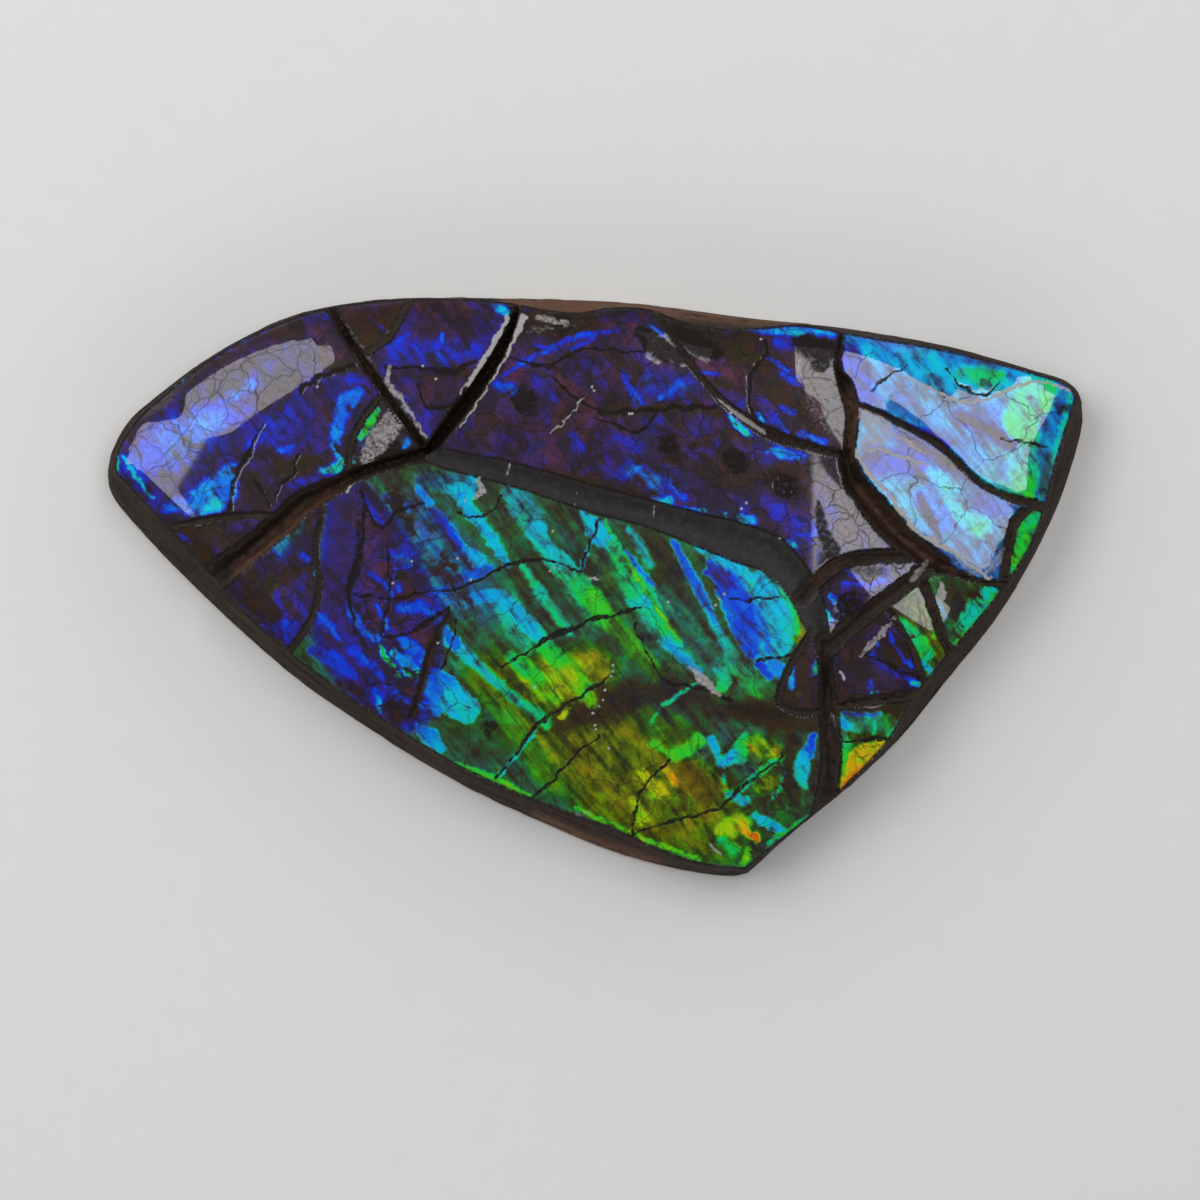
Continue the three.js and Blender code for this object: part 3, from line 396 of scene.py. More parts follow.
        flash(0.68, 0.72, 1.00, 0.3, (43.6, 11.0, 0.8), (43.4, 8.8, 1.0)),
        flash(0.58, 0.52, 0.95, 0.2, (47.6, 19.2, 0.5), (47.0, 16.8, 0.5), (45.4, 11.4, 0.5),
              (44.6, 8.8, 0.5)),
        stain(0.30, 0.20, 0.5, (45.6, 13.2, 1.0), (44.8, 9.6, 1.2)),
        flash(0.18, 0.22, 0.65, 0.3, (31.4, 15.9, 0.6), (33.6, 14.8, 1.4), (35.4, 13.6, 1.4)),
        flash(0.42, 0.56, 0.75, 0.3, (35.8, 13.6, 1.4), (38.0, 11.8, 1.8), (41.4, 9.6, 1.2)),
        # Painted highlight: the thin bright wavy line across the corner plate, where a crest mirrors a soft
        # box.
        calcite(1.00, 0.15, (30.0, 21.2, 0.15), (32.5, 20.4, 0.25), (35.5, 18.9, 0.3), (37.5, 18.5, 0.3),
                (39.5, 18.9, 0.3), (42.0, 20.0, 0.3), (44.0, 20.5, 0.3), (46.5, 20.1, 0.25),
                (47.6, 19.6, 0.2)),
        stain(0.18, 0.25, 0.7, (36.5, 17.0, 1.2), (40.0, 15.4, 1.2), (41.6, 14.2, 0.8)),
        grime(0.75, 0.3, (47.4, 18.2, 0.8), (46.6, 17.6, 0.9)),
    ),
    "shell_ridge": (
        flash(0.22, 0.26, 0.55, 1.0, (28.0, 12.6, 2.4), (31.6, 12.4, 2.6)),
        flash(0.44, 0.48, 0.70, 0.7, (27.8, 10.2, 1.6), (30.6, 8.0, 2.2), (32.6, 5.6, 1.4)),
        flash(0.42, 0.40, 0.70, 0.8, (33.0, 9.0, 2.6), (35.0, 7.0, 2.6)),
        flash(0.50, 0.55, 0.85, 0.6, (33.8, 11.4, 1.2), (35.6, 9.4, 2.0), (36.4, 7.6, 1.6)),
        flash(0.52, 0.56, 0.85, 0.6, (36.6, 7.2, 1.6), (38.4, 6.0, 2.2)),
        flash(0.30, 0.34, 0.45, 0.7, (38.4, 8.6, 1.4), (40.8, 7.6, 1.8)),
        stain(0.24, 0.20, 0.4, (32.4, 9.2, 0.4), (33.6, 6.8, 0.6), (34.4, 5.0, 0.4)),
        stain(0.22, 0.25, 0.8, (30.6, 15.0, 1.0), (35.6, 12.4, 1.2), (39.6, 10.0, 1.0)),
        calcite(0.55, 0.5, (26.6, 17.4, 1.2), (28.4, 15.6, 2.6), (27.0, 14.4, 1.4)),
        # Painted highlights: thin bright white lines along the ridge plate's lips and crests.
        calcite(1.00, 0.15, (26.0, 13.7, 0.25), (27.0, 11.7, 0.35), (29.0, 9.7, 0.35), (32.0, 5.7, 0.4),
                (34.5, 4.2, 0.4), (39.5, 0.9, 0.3)),
        calcite(0.95, 0.15, (26.5, 13.5, 0.2), (28.5, 13.7, 0.3), (31.0, 12.9, 0.3), (33.5, 12.2, 0.15)),
        calcite(0.95, 0.15, (28.5, 15.7, 0.15), (31.0, 14.7, 0.3), (33.0, 13.2, 0.15)),
        calcite(0.45, 0.5, (36.0, 3.4, 1.4), (38.6, 1.6, 1.4), (41.0, 3.4, 1.2)),
        grime(0.60, 0.4, (40.4, 4.2, 1.0), (41.0, 2.4, 0.8)),
    ),
    "shell_right_edge": (
        stain(0.30, 0.15, 0.4, (45.2, 6.6, 1.0), (43.8, 3.6, 1.0), (42.4, 1.0, 1.0)),
        flash(0.64, 0.70, 1.00, 0.2, (43.4, 6.6, 1.0), (42.4, 4.4, 1.2), (41.9, 2.6, 0.8)),
        flash(0.40, 0.44, 0.90, 0.2, (42.2, 6.6, 0.4), (41.6, 5.4, 0.4)),
    ),
    "shell_ribbed": (
        shatter(0.95, 3.0, (-23.0, 8.4, 3.0), (-19.6, 4.0, 9.0), (-19.0, -3.0, 12.0), (-20.0, -10.0, 8.0)),
        shatter(0.60, 2.0, (3.0, -22.0, 5.0), (10.0, -19.0, 8.0), (16.0, -18.0, 7.0), (18.0, -24.0, 6.0)),
        stain(0.08, 0.42, 1.6, (-24.6, 8.4, 5.0), (-22.6, 2.0, 11.0), (-21.6, -4.0, 13.0),
              (-20.0, -10.0, 9.0)),
        stain(0.30, 0.16, 1.5, (-20.0, 10.6, 2.0), (-12.0, 10.0, 3.0), (-7.0, 7.0, 3.0)),
        stain(0.62, 0.16, 2.0, (-6.0, 2.0, 5.0), (2.0, 0.0, 6.0), (8.0, -3.0, 5.0)),
        stain(0.86, 0.25, 2.5, (-11.0, -9.0, 4.0), (-4.0, -12.0, 9.0), (3.0, -19.0, 11.0),
              (11.0, -23.0, 9.0)),
        stain(0.92, 0.28, 1.5, (-5.0, -9.0, 4.0), (0.0, -8.0, 4.0), (-1.0, -11.0, 3.0)),
        flash(0.38, 0.46, 0.26, 2.4, (-18.0, 8.0, 3.0), (-14.0, 2.0, 6.0), (-11.0, -2.0, 4.0)),
        stain(0.34, 0.10, 1.5, (3.0, 5.4, 1.6), (6.6, 3.0, 3.0), (8.0, 0.0, 2.4)),
        stain(0.50, 0.16, 1.5, (10.6, 0.0, 1.4), (12.6, -5.0, 2.0), (15.0, -9.0, 3.0)),
        flash(0.56, 0.56, 0.30, 1.2, (6.6, -0.8, 1.4), (9.6, -4.8, 2.4), (13.0, -8.4, 2.4)),
        stain(0.34, 0.06, 1.6, (-3.0, -13.6, 2.4), (2.0, -11.6, 3.6), (7.0, -10.6, 3.0), (10.6, -10.8, 2.4)),
        flash(0.76, 0.80, 0.26, 1.2, (5.6, -12.8, 2.0), (8.6, -15.0, 3.0)),
        flash(0.72, 0.78, 0.38, 1.2, (-9.0, -13.0, 1.8), (-6.4, -16.4, 2.4), (-4.0, -19.6, 1.8)),
        flash(0.42, 0.46, 0.40, 1.0, (-17.4, 10.8, 1.2), (-13.8, 10.2, 2.4)),
        flash(0.46, 0.48, 0.95, 0.3, (-14.4, 9.8, 1.2), (-12.8, 9.6, 2.0), (-12.2, 10.8, 1.0)),
        flash(0.47, 0.47, 1.00, (0.35, 0.15), (-13.2, 8.4, 1.2), (-11.6, 6.6, 1.2), (-9.9, 4.2, 1.1),
              (-8.8, 2.4, 0.9)),
        flash(0.52, 0.54, 0.55, 0.5, (-8.2, 9.6, 2.4), (-7.2, 8.0, 2.8), (-5.9, 5.8, 2.2)),
        flash(0.53, 0.62, 0.95, (0.3, 0.5), (-6.0, 5.6, 1.6), (-4.6, 3.6, 1.8), (-2.8, 1.6, 2.2),
              (-1.2, -0.4, 2.2)),
        flash(0.66, 0.72, 0.85, (0.3, 0.6), (-1.6, 0.2, 2.0), (0.2, -2.0, 2.4), (1.6, -3.6, 1.8)),
        flash(0.74, 0.78, 0.35, 0.8, (2.2, -4.0, 1.8), (4.4, -6.6, 1.8), (6.2, -8.6, 1.2)),
        flash(0.56, 0.60, 0.80, 0.3, (-7.2, 2.0, 0.8), (-5.4, -0.6, 0.9), (-3.2, -3.6, 0.9),
              (-2.4, -4.8, 0.6)),
        flash(0.48, 0.54, 1.00, (0.5, 0.2), (-10.0, -0.8, 1.0), (-8.6, -1.8, 1.6), (-6.6, -4.0, 1.5),
              (-4.7, -5.8, 1.3)),
        flash(0.66, 0.80, 0.90, (0.5, 0.3), (-5.0, -5.8, 1.6), (-3.4, -7.4, 2.0), (-1.6, -9.6, 2.2),
              (-0.4, -11.4, 1.2)),
        flash(0.54, 0.62, 0.70, 0.4, (-9.6, -2.4, 0.8), (-8.2, -4.4, 1.3), (-6.8, -6.2, 1.0)),
        flash(0.62, 0.76, 0.85, 0.4, (-8.4, -7.0, 1.0), (-6.9, -8.2, 1.8), (-5.3, -9.8, 1.8),
              (-3.8, -11.2, 1.2)),
        flash(0.80, 0.84, 0.62, 0.8, (-5.6, -10.6, 1.2), (-3.4, -9.4, 2.4), (-1.0, -7.6, 1.2)),
        flash(0.46, 0.62, 0.75, 0.3, (-14.8, -4.6, 0.9), (-13.0, -6.6, 1.2), (-10.8, -8.6, 1.2),
              (-8.4, -10.8, 1.0),
              (-5.0, -13.4, 1.6)),
        flash(0.49, 0.47, 1.00, 0.15, (-1.2, 7.3, 0.8), (-0.2, 6.0, 2.0), (1.0, 4.7, 1.8), (2.2, 3.6, 0.5)),
        flash(0.66, 0.66, 1.00, 0.1, (0.9, 6.7, 0.25), (1.8, 5.0, 0.35), (2.6, 3.6, 0.25)),
        flash(0.50, 0.50, 0.90, 0.1, (0.5, 6.4, 0.25), (-0.6, 4.0, 0.3), (-1.4, 1.6, 0.35)),
        flash(0.48, 0.50, 0.55, 0.4, (3.4, 5.8, 0.5), (4.7, 3.8, 0.9), (5.5, 2.2, 0.7)),
        flash(0.34, 0.38, 0.75, 0.3, (3.0, 3.2, 0.7), (4.2, 2.0, 0.7), (5.8, 0.2, 0.5)),
        flash(0.64, 0.60, 1.00, (0.12, 1.0), (1.7, 4.2, 1.0), (3.2, 1.4, 2.0), (5.0, -1.4, 2.4),
              (6.6, -3.8, 1.8),
              (8.4, -6.2, 0.8)),
        flash(0.78, 0.82, 1.00, 0.1, (2.9, 2.9, 0.2), (4.7, 0.2, 0.35), (6.6, -2.8, 0.35), (8.4, -5.3, 0.2)),
        flash(0.54, 0.54, 1.00, 0.4, (3.6, -1.6, 0.8), (4.9, -1.4, 1.3)),
        flash(0.48, 0.44, 0.70, 0.3, (6.8, -5.2, 0.9), (8.4, -6.6, 1.2), (10.2, -8.4, 0.9)),
        flash(0.28, 0.42, 0.95, 0.25, (7.8, 4.6, 0.5), (9.0, 2.2, 0.9), (10.3, -0.2, 1.0), (11.6, -2.8, 0.9),
              (12.4, -4.4, 0.9)),
        flash(0.50, 0.58, 0.55, 0.5, (12.2, -4.2, 0.9), (13.6, -6.8, 1.4), (15.0, -9.2, 1.4)),
        flash(0.30, 0.33, 0.98, (0.9, 0.25), (12.0, 2.4, 1.8), (13.2, 0.6, 2.8), (14.4, -2.0, 3.2),
              (15.2, -4.6, 2.8), (15.8, -6.4, 1.6)),
        flash(0.12, 0.16, 0.80, 0.3, (11.2, 1.6, 0.5), (12.8, 0.6, 0.7), (13.8, 0.0, 0.4)),
        flash(0.48, 0.48, 0.95, 0.3, (10.2, 4.1, 0.7), (12.4, 2.9, 1.3), (14.6, 1.8, 1.2), (15.8, 0.6, 0.8)),
        flash(0.60, 0.62, 0.85, 0.2, (10.4, 4.5, 0.25), (13.4, 3.4, 0.5), (16.0, 2.5, 0.6), (17.6, 2.0, 0.7)),
        flash(0.48, 0.52, 0.85, (0.3, 0.5), (16.3, 1.0, 1.6), (17.2, -1.0, 2.4), (18.0, -3.2, 3.2),
              (18.2, -5.4, 3.0), (17.4, -7.2, 2.2)),
        flash(0.38, 0.40, 0.80, 0.4, (16.2, -2.2, 0.6), (17.0, -4.6, 0.9), (17.4, -6.4, 0.6)),
        flash(0.60, 0.64, 0.95, 0.3, (17.4, 1.8, 0.6), (18.8, 0.2, 0.8), (19.8, -2.0, 0.8),
              (20.2, -4.4, 0.7)),
        stain(0.95, 0.30, 0.3, (20.4, -2.0, 0.4), (21.0, -3.8, 1.1), (20.4, -5.2, 0.8)),
        stain(0.40, 0.10, 0.5, (15.2, -7.6, 1.0), (16.2, -8.6, 0.9)),
        flash(0.28, 0.34, 0.95, 0.2, (16.4, -7.8, 0.8), (17.4, -8.9, 0.9)),
        flash(0.44, 0.48, 1.00, 0.2, (17.8, -7.6, 1.4), (18.6, -8.4, 1.6), (19.2, -9.4, 0.8)),
        flash(0.56, 0.60, 0.85, 0.3, (12.2, -8.4, 0.8), (13.2, -9.0, 1.4), (12.6, -10.2, 0.8)),
        flash(0.62, 0.68, 0.50, 0.8, (14.4, -8.4, 1.8), (15.8, -10.2, 2.4)),
        stain(0.46, 0.04, 0.8, (11.4, -12.6, 1.2), (16.0, -12.4, 2.2), (21.6, -13.4, 2.8)),
        grime(0.60, 0.8, (12.0, -11.6, 0.8), (17.0, -12.6, 1.6), (22.0, -12.4, 1.4)),
        flash(0.28, 0.24, 0.75, 0.4, (-23.2, 9.4, 0.5), (-22.4, 7.8, 0.6), (-21.2, 6.2, 0.6)),
        flash(0.32, 0.36, 0.80, 0.5, (-20.6, 9.0, 1.0), (-19.0, 8.0, 1.4)),
        flash(0.38, 0.42, 0.95, 0.25, (-17.6, 9.9, 0.7), (-17.0, 8.8, 1.0), (-16.0, 7.2, 0.5)),
        flash(0.22, 0.28, 0.80, 0.4, (-16.0, 7.6, 0.6), (-14.4, 5.4, 1.1), (-13.2, 3.6, 0.9)),
        flash(0.42, 0.48, 0.95, 0.4, (-13.0, 3.6, 0.9), (-11.8, 2.6, 1.6), (-11.0, 1.6, 1.0)),
        flash(0.48, 0.50, 0.60, 0.5, (-14.4, 2.2, 1.2), (-13.6, 1.4, 1.4)),
        flash(0.30, 0.34, 0.55, 0.7, (-20.0, 3.2, 1.2), (-18.8, 2.4, 1.2)),
        flash(0.28, 0.32, 0.90, 0.15, (-22.6, 1.4, 0.4), (-21.0, 0.2, 0.6), (-20.4, -0.8, 0.5)),
        flash(0.30, 0.34, 0.90, 0.15, (-20.0, 1.8, 0.4), (-19.6, -0.4, 0.6)),
        flash(0.36, 0.32, 0.80, 0.3, (-15.6, -0.6, 0.8), (-12.6, 1.0, 1.2), (-10.6, 1.8, 0.8)),
        flash(0.40, 0.46, 0.85, 0.3, (-13.4, -1.8, 0.8), (-11.4, -1.0, 1.2), (-9.8, -0.8, 0.8)),
        flash(0.34, 0.30, 0.88, 0.25, (-24.6, -2.0, 0.5), (-23.8, -3.4, 1.1), (-23.0, -4.4, 0.5)),
        flash(0.32, 0.34, 0.90, 0.25, (-28.0, -2.4, 0.6), (-26.6, -4.0, 1.2), (-25.6, -5.2, 0.4)),
        flash(0.34, 0.36, 0.92, 0.2, (-22.8, -4.6, 1.0), (-21.6, -5.0, 1.2)),
        flash(0.36, 0.40, 0.85, 0.2, (-21.8, -1.8, 0.5), (-20.8, -4.0, 0.5)),
        flash(0.36, 0.42, 0.75, 0.6, (-19.4, -2.0, 1.0), (-17.0, -2.2, 1.4), (-15.4, -3.6, 0.6)),
        flash(0.36, 0.40, 0.95, 0.25, (-19.4, -5.4, 1.0), (-17.8, -6.4, 1.6), (-17.0, -7.6, 0.8)),
        flash(0.44, 0.50, 0.95, 0.25, (-20.0, -6.6, 0.9), (-18.6, -8.0, 1.8), (-18.0, -9.2, 1.0)),
        flash(0.62, 0.66, 0.95, 0.15, (-21.4, -6.0, 0.4), (-20.4, -7.8, 0.7), (-19.4, -9.2, 0.4)),
        flash(0.34, 0.38, 0.85, 0.25, (-15.0, -4.2, 0.8), (-14.0, -5.8, 1.4)),
        flash(0.42, 0.50, 0.98, 0.12, (-16.0, -9.7, 3.2), (-14.6, -10.9, 3.4), (-12.9, -12.2, 2.8)),
        flash(0.38, 0.42, 0.85, 0.2, (-17.6, -11.4, 0.7), (-15.8, -12.4, 0.9)),
        flash(0.40, 0.46, 0.92, 0.2, (-17.8, -13.8, 0.8), (-16.6, -14.9, 1.7), (-15.4, -16.1, 0.9)),
        flash(0.26, 0.24, 0.92, 0.3, (-28.4, -6.4, 0.8), (-26.2, -7.2, 1.4), (-24.2, -8.8, 0.9)),
        flash(0.20, 0.24, 0.70, 0.3, (-24.4, -6.4, 0.6), (-22.2, -7.8, 0.8), (-20.6, -9.6, 0.8)),
        flash(0.20, 0.46, 0.90, 0.15, (-22.0, -10.3, 0.5), (-21.5, -12.4, 0.6)),
        flash(0.28, 0.30, 0.90, 0.25, (-20.4, -9.9, 0.7), (-19.2, -11.6, 0.9)),
        stain(0.44, 0.05, 0.8, (-25.6, -9.6, 0.8), (-23.6, -10.6, 1.2)),
        stain(0.46, 0.04, 0.7, (-20.4, -11.8, 0.8), (-19.8, -13.0, 1.4)),
        stain(0.46, 0.04, 0.4, (-14.6, -2.6, 0.5), (-16.2, -5.6, 1.2), (-17.4, -10.2, 0.9),
              (-18.2, -12.8, 0.8)),
        flash(0.72, 0.74, 1.00, 0.15, (-14.0, -17.8, 0.4), (-10.8, -18.9, 0.7), (-6.6, -21.0, 0.6)),
        flash(0.76, 0.78, 0.95, 0.12, (-2.0, -22.0, 0.3), (3.0, -24.3, 0.4), (8.0, -26.4, 0.4),
              (10.4, -27.3, 0.4)),
        flash(0.50, 0.54, 0.92, 0.1, (-5.9, -14.3, 0.35), (-7.5, -16.4, 0.35), (-9.6, -19.0, 0.3)),
        flash(0.84, 0.84, 1.00, 0.15, (-3.4, -13.0, 0.4), (-2.6, -12.2, 0.4)),
        flash(0.60, 0.62, 0.80, 0.1, (-0.2, -9.6, 0.25), (-1.4, -11.2, 0.3)),
        flash(0.60, 0.64, 0.75, 0.15, (10.2, -9.6, 0.3), (7.6, -11.2, 0.4), (5.6, -13.4, 0.3)),
        flash(0.74, 0.76, 0.85, 0.4, (5.8, -15.6, 0.7), (7.6, -16.8, 1.0), (10.4, -15.4, 1.4)),
        flash(0.82, 0.84, 0.80, 0.7, (4.6, -18.9, 0.9), (6.4, -20.4, 1.6)),
        flash(0.88, 0.88, 0.70, 0.3, (7.0, -17.8, 0.4), (7.9, -19.6, 0.8)),
        flash(0.80, 0.82, 0.85, 0.5, (3.8, -21.2, 0.6), (4.6, -23.2, 1.4)),
        stain(1.00, 0.12, 1.0, (9.4, -18.4, 2.0), (11.0, -20.6, 2.4)),
        stain(1.00, 0.30, 0.5, (5.0, -24.4, 0.8), (9.0, -24.0, 1.4), (12.0, -22.6, 0.8)),
        flash(0.46, 0.52, 0.90, 0.2, (11.6, -15.0, 0.5), (12.4, -17.2, 0.6), (13.0, -19.6, 0.4)),
        flash(0.62, 0.60, 0.95, 0.3, (14.9, -15.0, 0.9), (14.2, -16.8, 1.9)),
        flash(0.42, 0.46, 0.95, 0.3, (13.8, -16.6, 0.8), (12.8, -17.6, 1.2)),
        stain(0.95, 0.40, 0.6, (16.0, -15.6, 1.8), (18.0, -16.8, 1.8)),
        flash(0.60, 0.62, 0.92, 0.15, (14.6, -20.2, 0.4), (16.4, -18.6, 0.8), (18.9, -16.9, 0.4)),
        stain(0.70, 0.35, 0.5, (16.6, -20.0, 1.8), (18.0, -19.4, 1.8)),
        flash(0.54, 0.50, 0.92, 0.2, (17.4, -21.4, 0.4), (18.6, -19.8, 0.5), (18.9, -17.6, 0.3)),
        flash(0.58, 0.54, 0.95, 0.25, (13.2, -20.6, 0.8), (14.8, -21.4, 1.3)),
        flash(0.54, 0.42, 0.98, 0.2, (16.0, -22.9, 0.8), (18.6, -24.3, 1.1)),
        flash(0.84, 0.88, 0.98, 0.6, (12.8, -24.4, 1.4), (14.6, -23.6, 1.7)),
        flash(0.64, 0.66, 0.98, 0.4, (12.6, -25.4, 1.0), (13.8, -26.2, 1.3)),
        flash(0.94, 1.00, 1.00, 0.2, (14.6, -24.2, 0.7), (16.2, -25.2, 0.8)),
        flash(0.74, 0.80, 0.95, 0.2, (15.4, -26.4, 0.8), (14.8, -27.8, 0.5)),
        flash(0.66, 0.68, 0.85, 0.2, (17.4, -25.6, 0.5), (19.6, -24.3, 0.5), (21.2, -23.0, 0.4)),
        stain(0.40, 0.06, 0.5, (19.6, -15.0, 0.9), (19.4, -18.6, 1.4), (20.0, -21.6, 1.2)),
        flash(0.28, 0.40, 0.90, 0.25, (21.8, -15.0, 0.6), (21.2, -16.6, 1.4)),
        flash(0.46, 0.52, 0.98, 0.25, (20.9, -17.0, 1.2), (20.6, -18.6, 1.4), (20.9, -20.0, 0.6)),
        stain(0.45, 0.10, 0.3, (22.2, -16.2, 0.5), (22.0, -18.6, 0.7), (21.6, -20.6, 0.6)),
        # Painted highlights: a leaf-shaped glint streak, a small crescent and a short white dash.
        calcite(0.62, 0.2, (9.4, -8.0, 0.4), (10.8, -9.2, 1.0), (12.4, -10.9, 0.4)),
        calcite(0.60, 0.15, (-11.6, 10.8, 0.4), (-11.3, 9.8, 0.9), (-12.0, 8.9, 0.4)),
        calcite(0.85, 0.1, (-0.6, 0.8, 0.2), (0.4, 0.8, 0.35)),
        calcite(0.75, 0.1, (-25.0, 9.4, 0.2), (-23.6, 11.0, 0.4), (-22.6, 11.4, 0.2)),
        calcite(0.70, 0.15, (11.2, -25.6, 0.2), (12.6, -26.7, 0.35)),
        calcite(0.35, 0.5, (-2.6, -23.0, 0.8), (-0.6, -22.6, 0.9)),
        grime(0.80, 0.5, (-23.6, 6.6, 0.6), (-23.6, 2.4, 1.0), (-24.6, -0.6, 0.8)),
        grime(0.70, 0.4, (-24.0, -4.6, 0.8), (-22.6, -6.2, 0.6)),
        grime(0.60, 0.8, (-11.0, -13.0, 1.2), (-10.6, -15.2, 1.0)),
        grime(0.60, 0.6, (10.4, -26.6, 0.8), (12.2, -27.6, 0.8)),
    ),
    "shell_lower_left": (
        flash(0.48, 0.46, 0.28, 1.0, (-29.6, 6.2, 1.8), (-31.4, 4.2, 2.2)),
        stain(0.40, 0.06, 0.8, (-34.6, 1.6, 2.0), (-34.0, -1.4, 2.4)),
        stain(0.34, 0.08, 0.5, (-32.4, 1.0, 1.2), (-32.2, -3.0, 1.4)),
        flash(0.16, 0.20, 0.88, 0.25, (-31.9, -0.4, 0.4), (-31.2, -2.6, 0.8), (-30.6, -5.2, 0.9)),
        flash(0.14, 0.16, 0.45, 0.8, (-29.6, 0.4, 2.0), (-29.6, -3.6, 2.2)),
        flash(0.50, 0.54, 0.80, 0.1, (-27.9, 2.0, 0.25), (-27.8, 0.4, 0.25)),
        flash(0.28, 0.30, 0.80, 0.3, (-29.4, 3.2, 0.6), (-28.6, 2.6, 0.5)),
        stain(0.42, 0.05, 0.5, (-28.6, 8.2, 0.6), (-28.6, 5.6, 0.7)),
    ),
    "shell_wedge": (
        flash(0.46, 0.48, 0.98, 0.2, (19.8, -6.4, 0.5), (19.4, -8.2, 1.2), (19.6, -10.0, 0.8)),
        flash(0.14, 0.10, 0.65, 0.25, (21.4, -4.8, 0.6), (22.2, -6.6, 0.4)),
        flash(0.60, 0.62, 0.45, 0.5, (22.2, -7.8, 1.0), (21.8, -8.6, 0.8)),
        stain(0.30, 0.05, 0.8, (21.8, -10.6, 1.8), (21.0, -11.6, 1.2)),
    ),
    "shell_rough_chip": (
        flash(0.30, 0.28, 0.90, 0.25, (24.8, 1.8, 0.6), (26.6, 1.0, 0.6)),
        flash(0.28, 0.24, 0.85, 0.2, (25.0, 0.4, 0.4), (27.6, 0.2, 0.6), (29.0, 0.8, 0.3)),
        flash(0.40, 0.36, 0.85, 0.2, (23.2, -0.6, 0.5), (23.8, -1.6, 0.4)),
        flash(0.48, 0.44, 0.90, 0.2, (23.0, -2.4, 0.6), (23.6, -3.4, 0.6)),
        flash(0.10, 0.12, 0.45, 0.7, (25.4, -0.6, 1.4), (27.4, -1.0, 1.4)),
        stain(0.52, 0.05, 0.3, (23.2, -4.0, 0.7), (23.8, -4.8, 0.7)),
        stain(0.48, 0.05, 0.4, (23.6, 0.8, 0.6), (23.0, -0.6, 0.5)),
        grime(0.65, 0.8, (24.6, -2.8, 1.6), (27.0, -3.0, 1.4)),
        grime(0.62, 0.8, (22.8, 0.4, 1.0), (25.4, 1.8, 1.4), (28.6, 1.6, 1.4)),
    ),
    "shell_triangle": (
        stain(0.42, 0.05, 0.6, (25.2, -8.0, 1.4), (26.6, -8.6, 1.2)),
        flash(0.28, 0.30, 0.88, 0.12, (29.4, -4.6, 0.25), (30.4, -6.6, 0.5), (31.8, -8.0, 0.4)),
        flash(0.28, 0.26, 0.80, 0.1, (28.4, -5.6, 0.25), (27.6, -6.8, 0.4)),
        flash(0.16, 0.20, 0.60, 0.3, (27.8, -7.4, 0.4), (30.4, -8.8, 0.6), (32.0, -9.4, 0.4)),
        flash(0.34, 0.40, 0.60, 0.4, (27.4, -9.4, 0.6), (27.8, -10.6, 0.5)),
        flash(0.42, 0.50, 0.92, 0.15, (26.2, -11.4, 0.3), (28.0, -10.7, 0.5)),
        flash(0.52, 0.54, 0.92, 0.3, (31.8, -9.6, 0.6), (32.6, -9.8, 0.9)),
        # Painted highlight: a pale stripe along the lip of the triangle plate.
        calcite(0.55, 0.2, (29.6, -3.6, 0.4), (28.2, -5.0, 0.8), (26.6, -6.9, 0.4)),
        calcite(0.90, 0.1, (24.4, -8.4, 0.2), (24.8, -9.2, 0.4)),
    ),
    "shell_olive": (
        flash(0.58, 0.64, 0.90, 0.4, (30.4, -3.6, 0.9), (32.0, -5.2, 1.9), (33.4, -6.8, 1.2)),
        stain(0.85, 0.25, 0.5, (31.4, -2.0, 1.4), (33.0, -3.6, 1.6)),
        flash(0.50, 0.54, 0.85, 0.2, (32.8, -7.4, 0.5), (33.6, -8.6, 0.6)),
        flash(0.64, 0.70, 0.90, 0.2, (33.9, -4.2, 0.4), (34.0, -5.0, 0.4)),
        calcite(0.60, 0.2, (32.2, -0.4, 0.5), (32.8, -1.6, 0.5)),
    ),
    "shell_green": (
        stain(0.34, 0.08, 0.6, (35.6, 0.8, 1.8), (35.8, -2.4, 2.0)),
        flash(0.54, 0.60, 1.00, 0.25, (39.6, -0.4, 1.4), (38.2, -2.2, 2.2), (37.0, -4.0, 1.8)),
        flash(0.66, 0.76, 1.00, 0.25, (40.0, -1.0, 0.8), (38.4, -3.6, 1.0), (36.6, -5.6, 1.2)),
        flash(0.54, 0.58, 0.90, 0.2, (35.2, -5.6, 0.6), (36.0, -6.2, 0.5)),
        stain(0.95, 0.40, 0.3, (34.6, -7.4, 1.4), (35.6, -6.6, 1.0)),
        flash(0.72, 0.74, 0.90, 0.2, (34.2, -8.6, 0.5), (34.9, -9.0, 0.4)),
        # Painted highlight: a small white glint on the green plate.
        calcite(0.65, 0.2, (34.6, 0.4, 0.4), (34.6, -0.8, 1.2)),
        flash(0.28, 0.30, 0.60, 0.1, (34.3, -1.4, 0.2), (35.2, -3.2, 0.25)),
    ),
    "shell_fan": (
        stain(0.46, 0.04, 0.5, (25.6, -12.2, 0.9), (30.6, -12.0, 1.6)),
        flash(0.30, 0.34, 0.75, 0.3, (24.6, -12.6, 0.4), (28.4, -12.9, 0.7)),
        flash(0.44, 0.52, 0.92, 0.3, (24.6, -13.4, 0.9), (26.0, -14.0, 1.3)),
        flash(0.58, 0.64, 0.45, 0.5, (26.4, -13.8, 1.2), (29.2, -13.6, 1.6)),
        flash(0.56, 0.60, 0.90, 0.15, (30.4, -13.6, 0.4), (29.4, -15.0, 0.4)),
        flash(0.54, 0.58, 0.90, 0.15, (27.9, -13.4, 0.2), (28.0, -14.8, 0.4)),
        stain(0.70, 0.12, 0.4, (25.8, -15.2, 0.8), (28.4, -15.0, 0.7)),
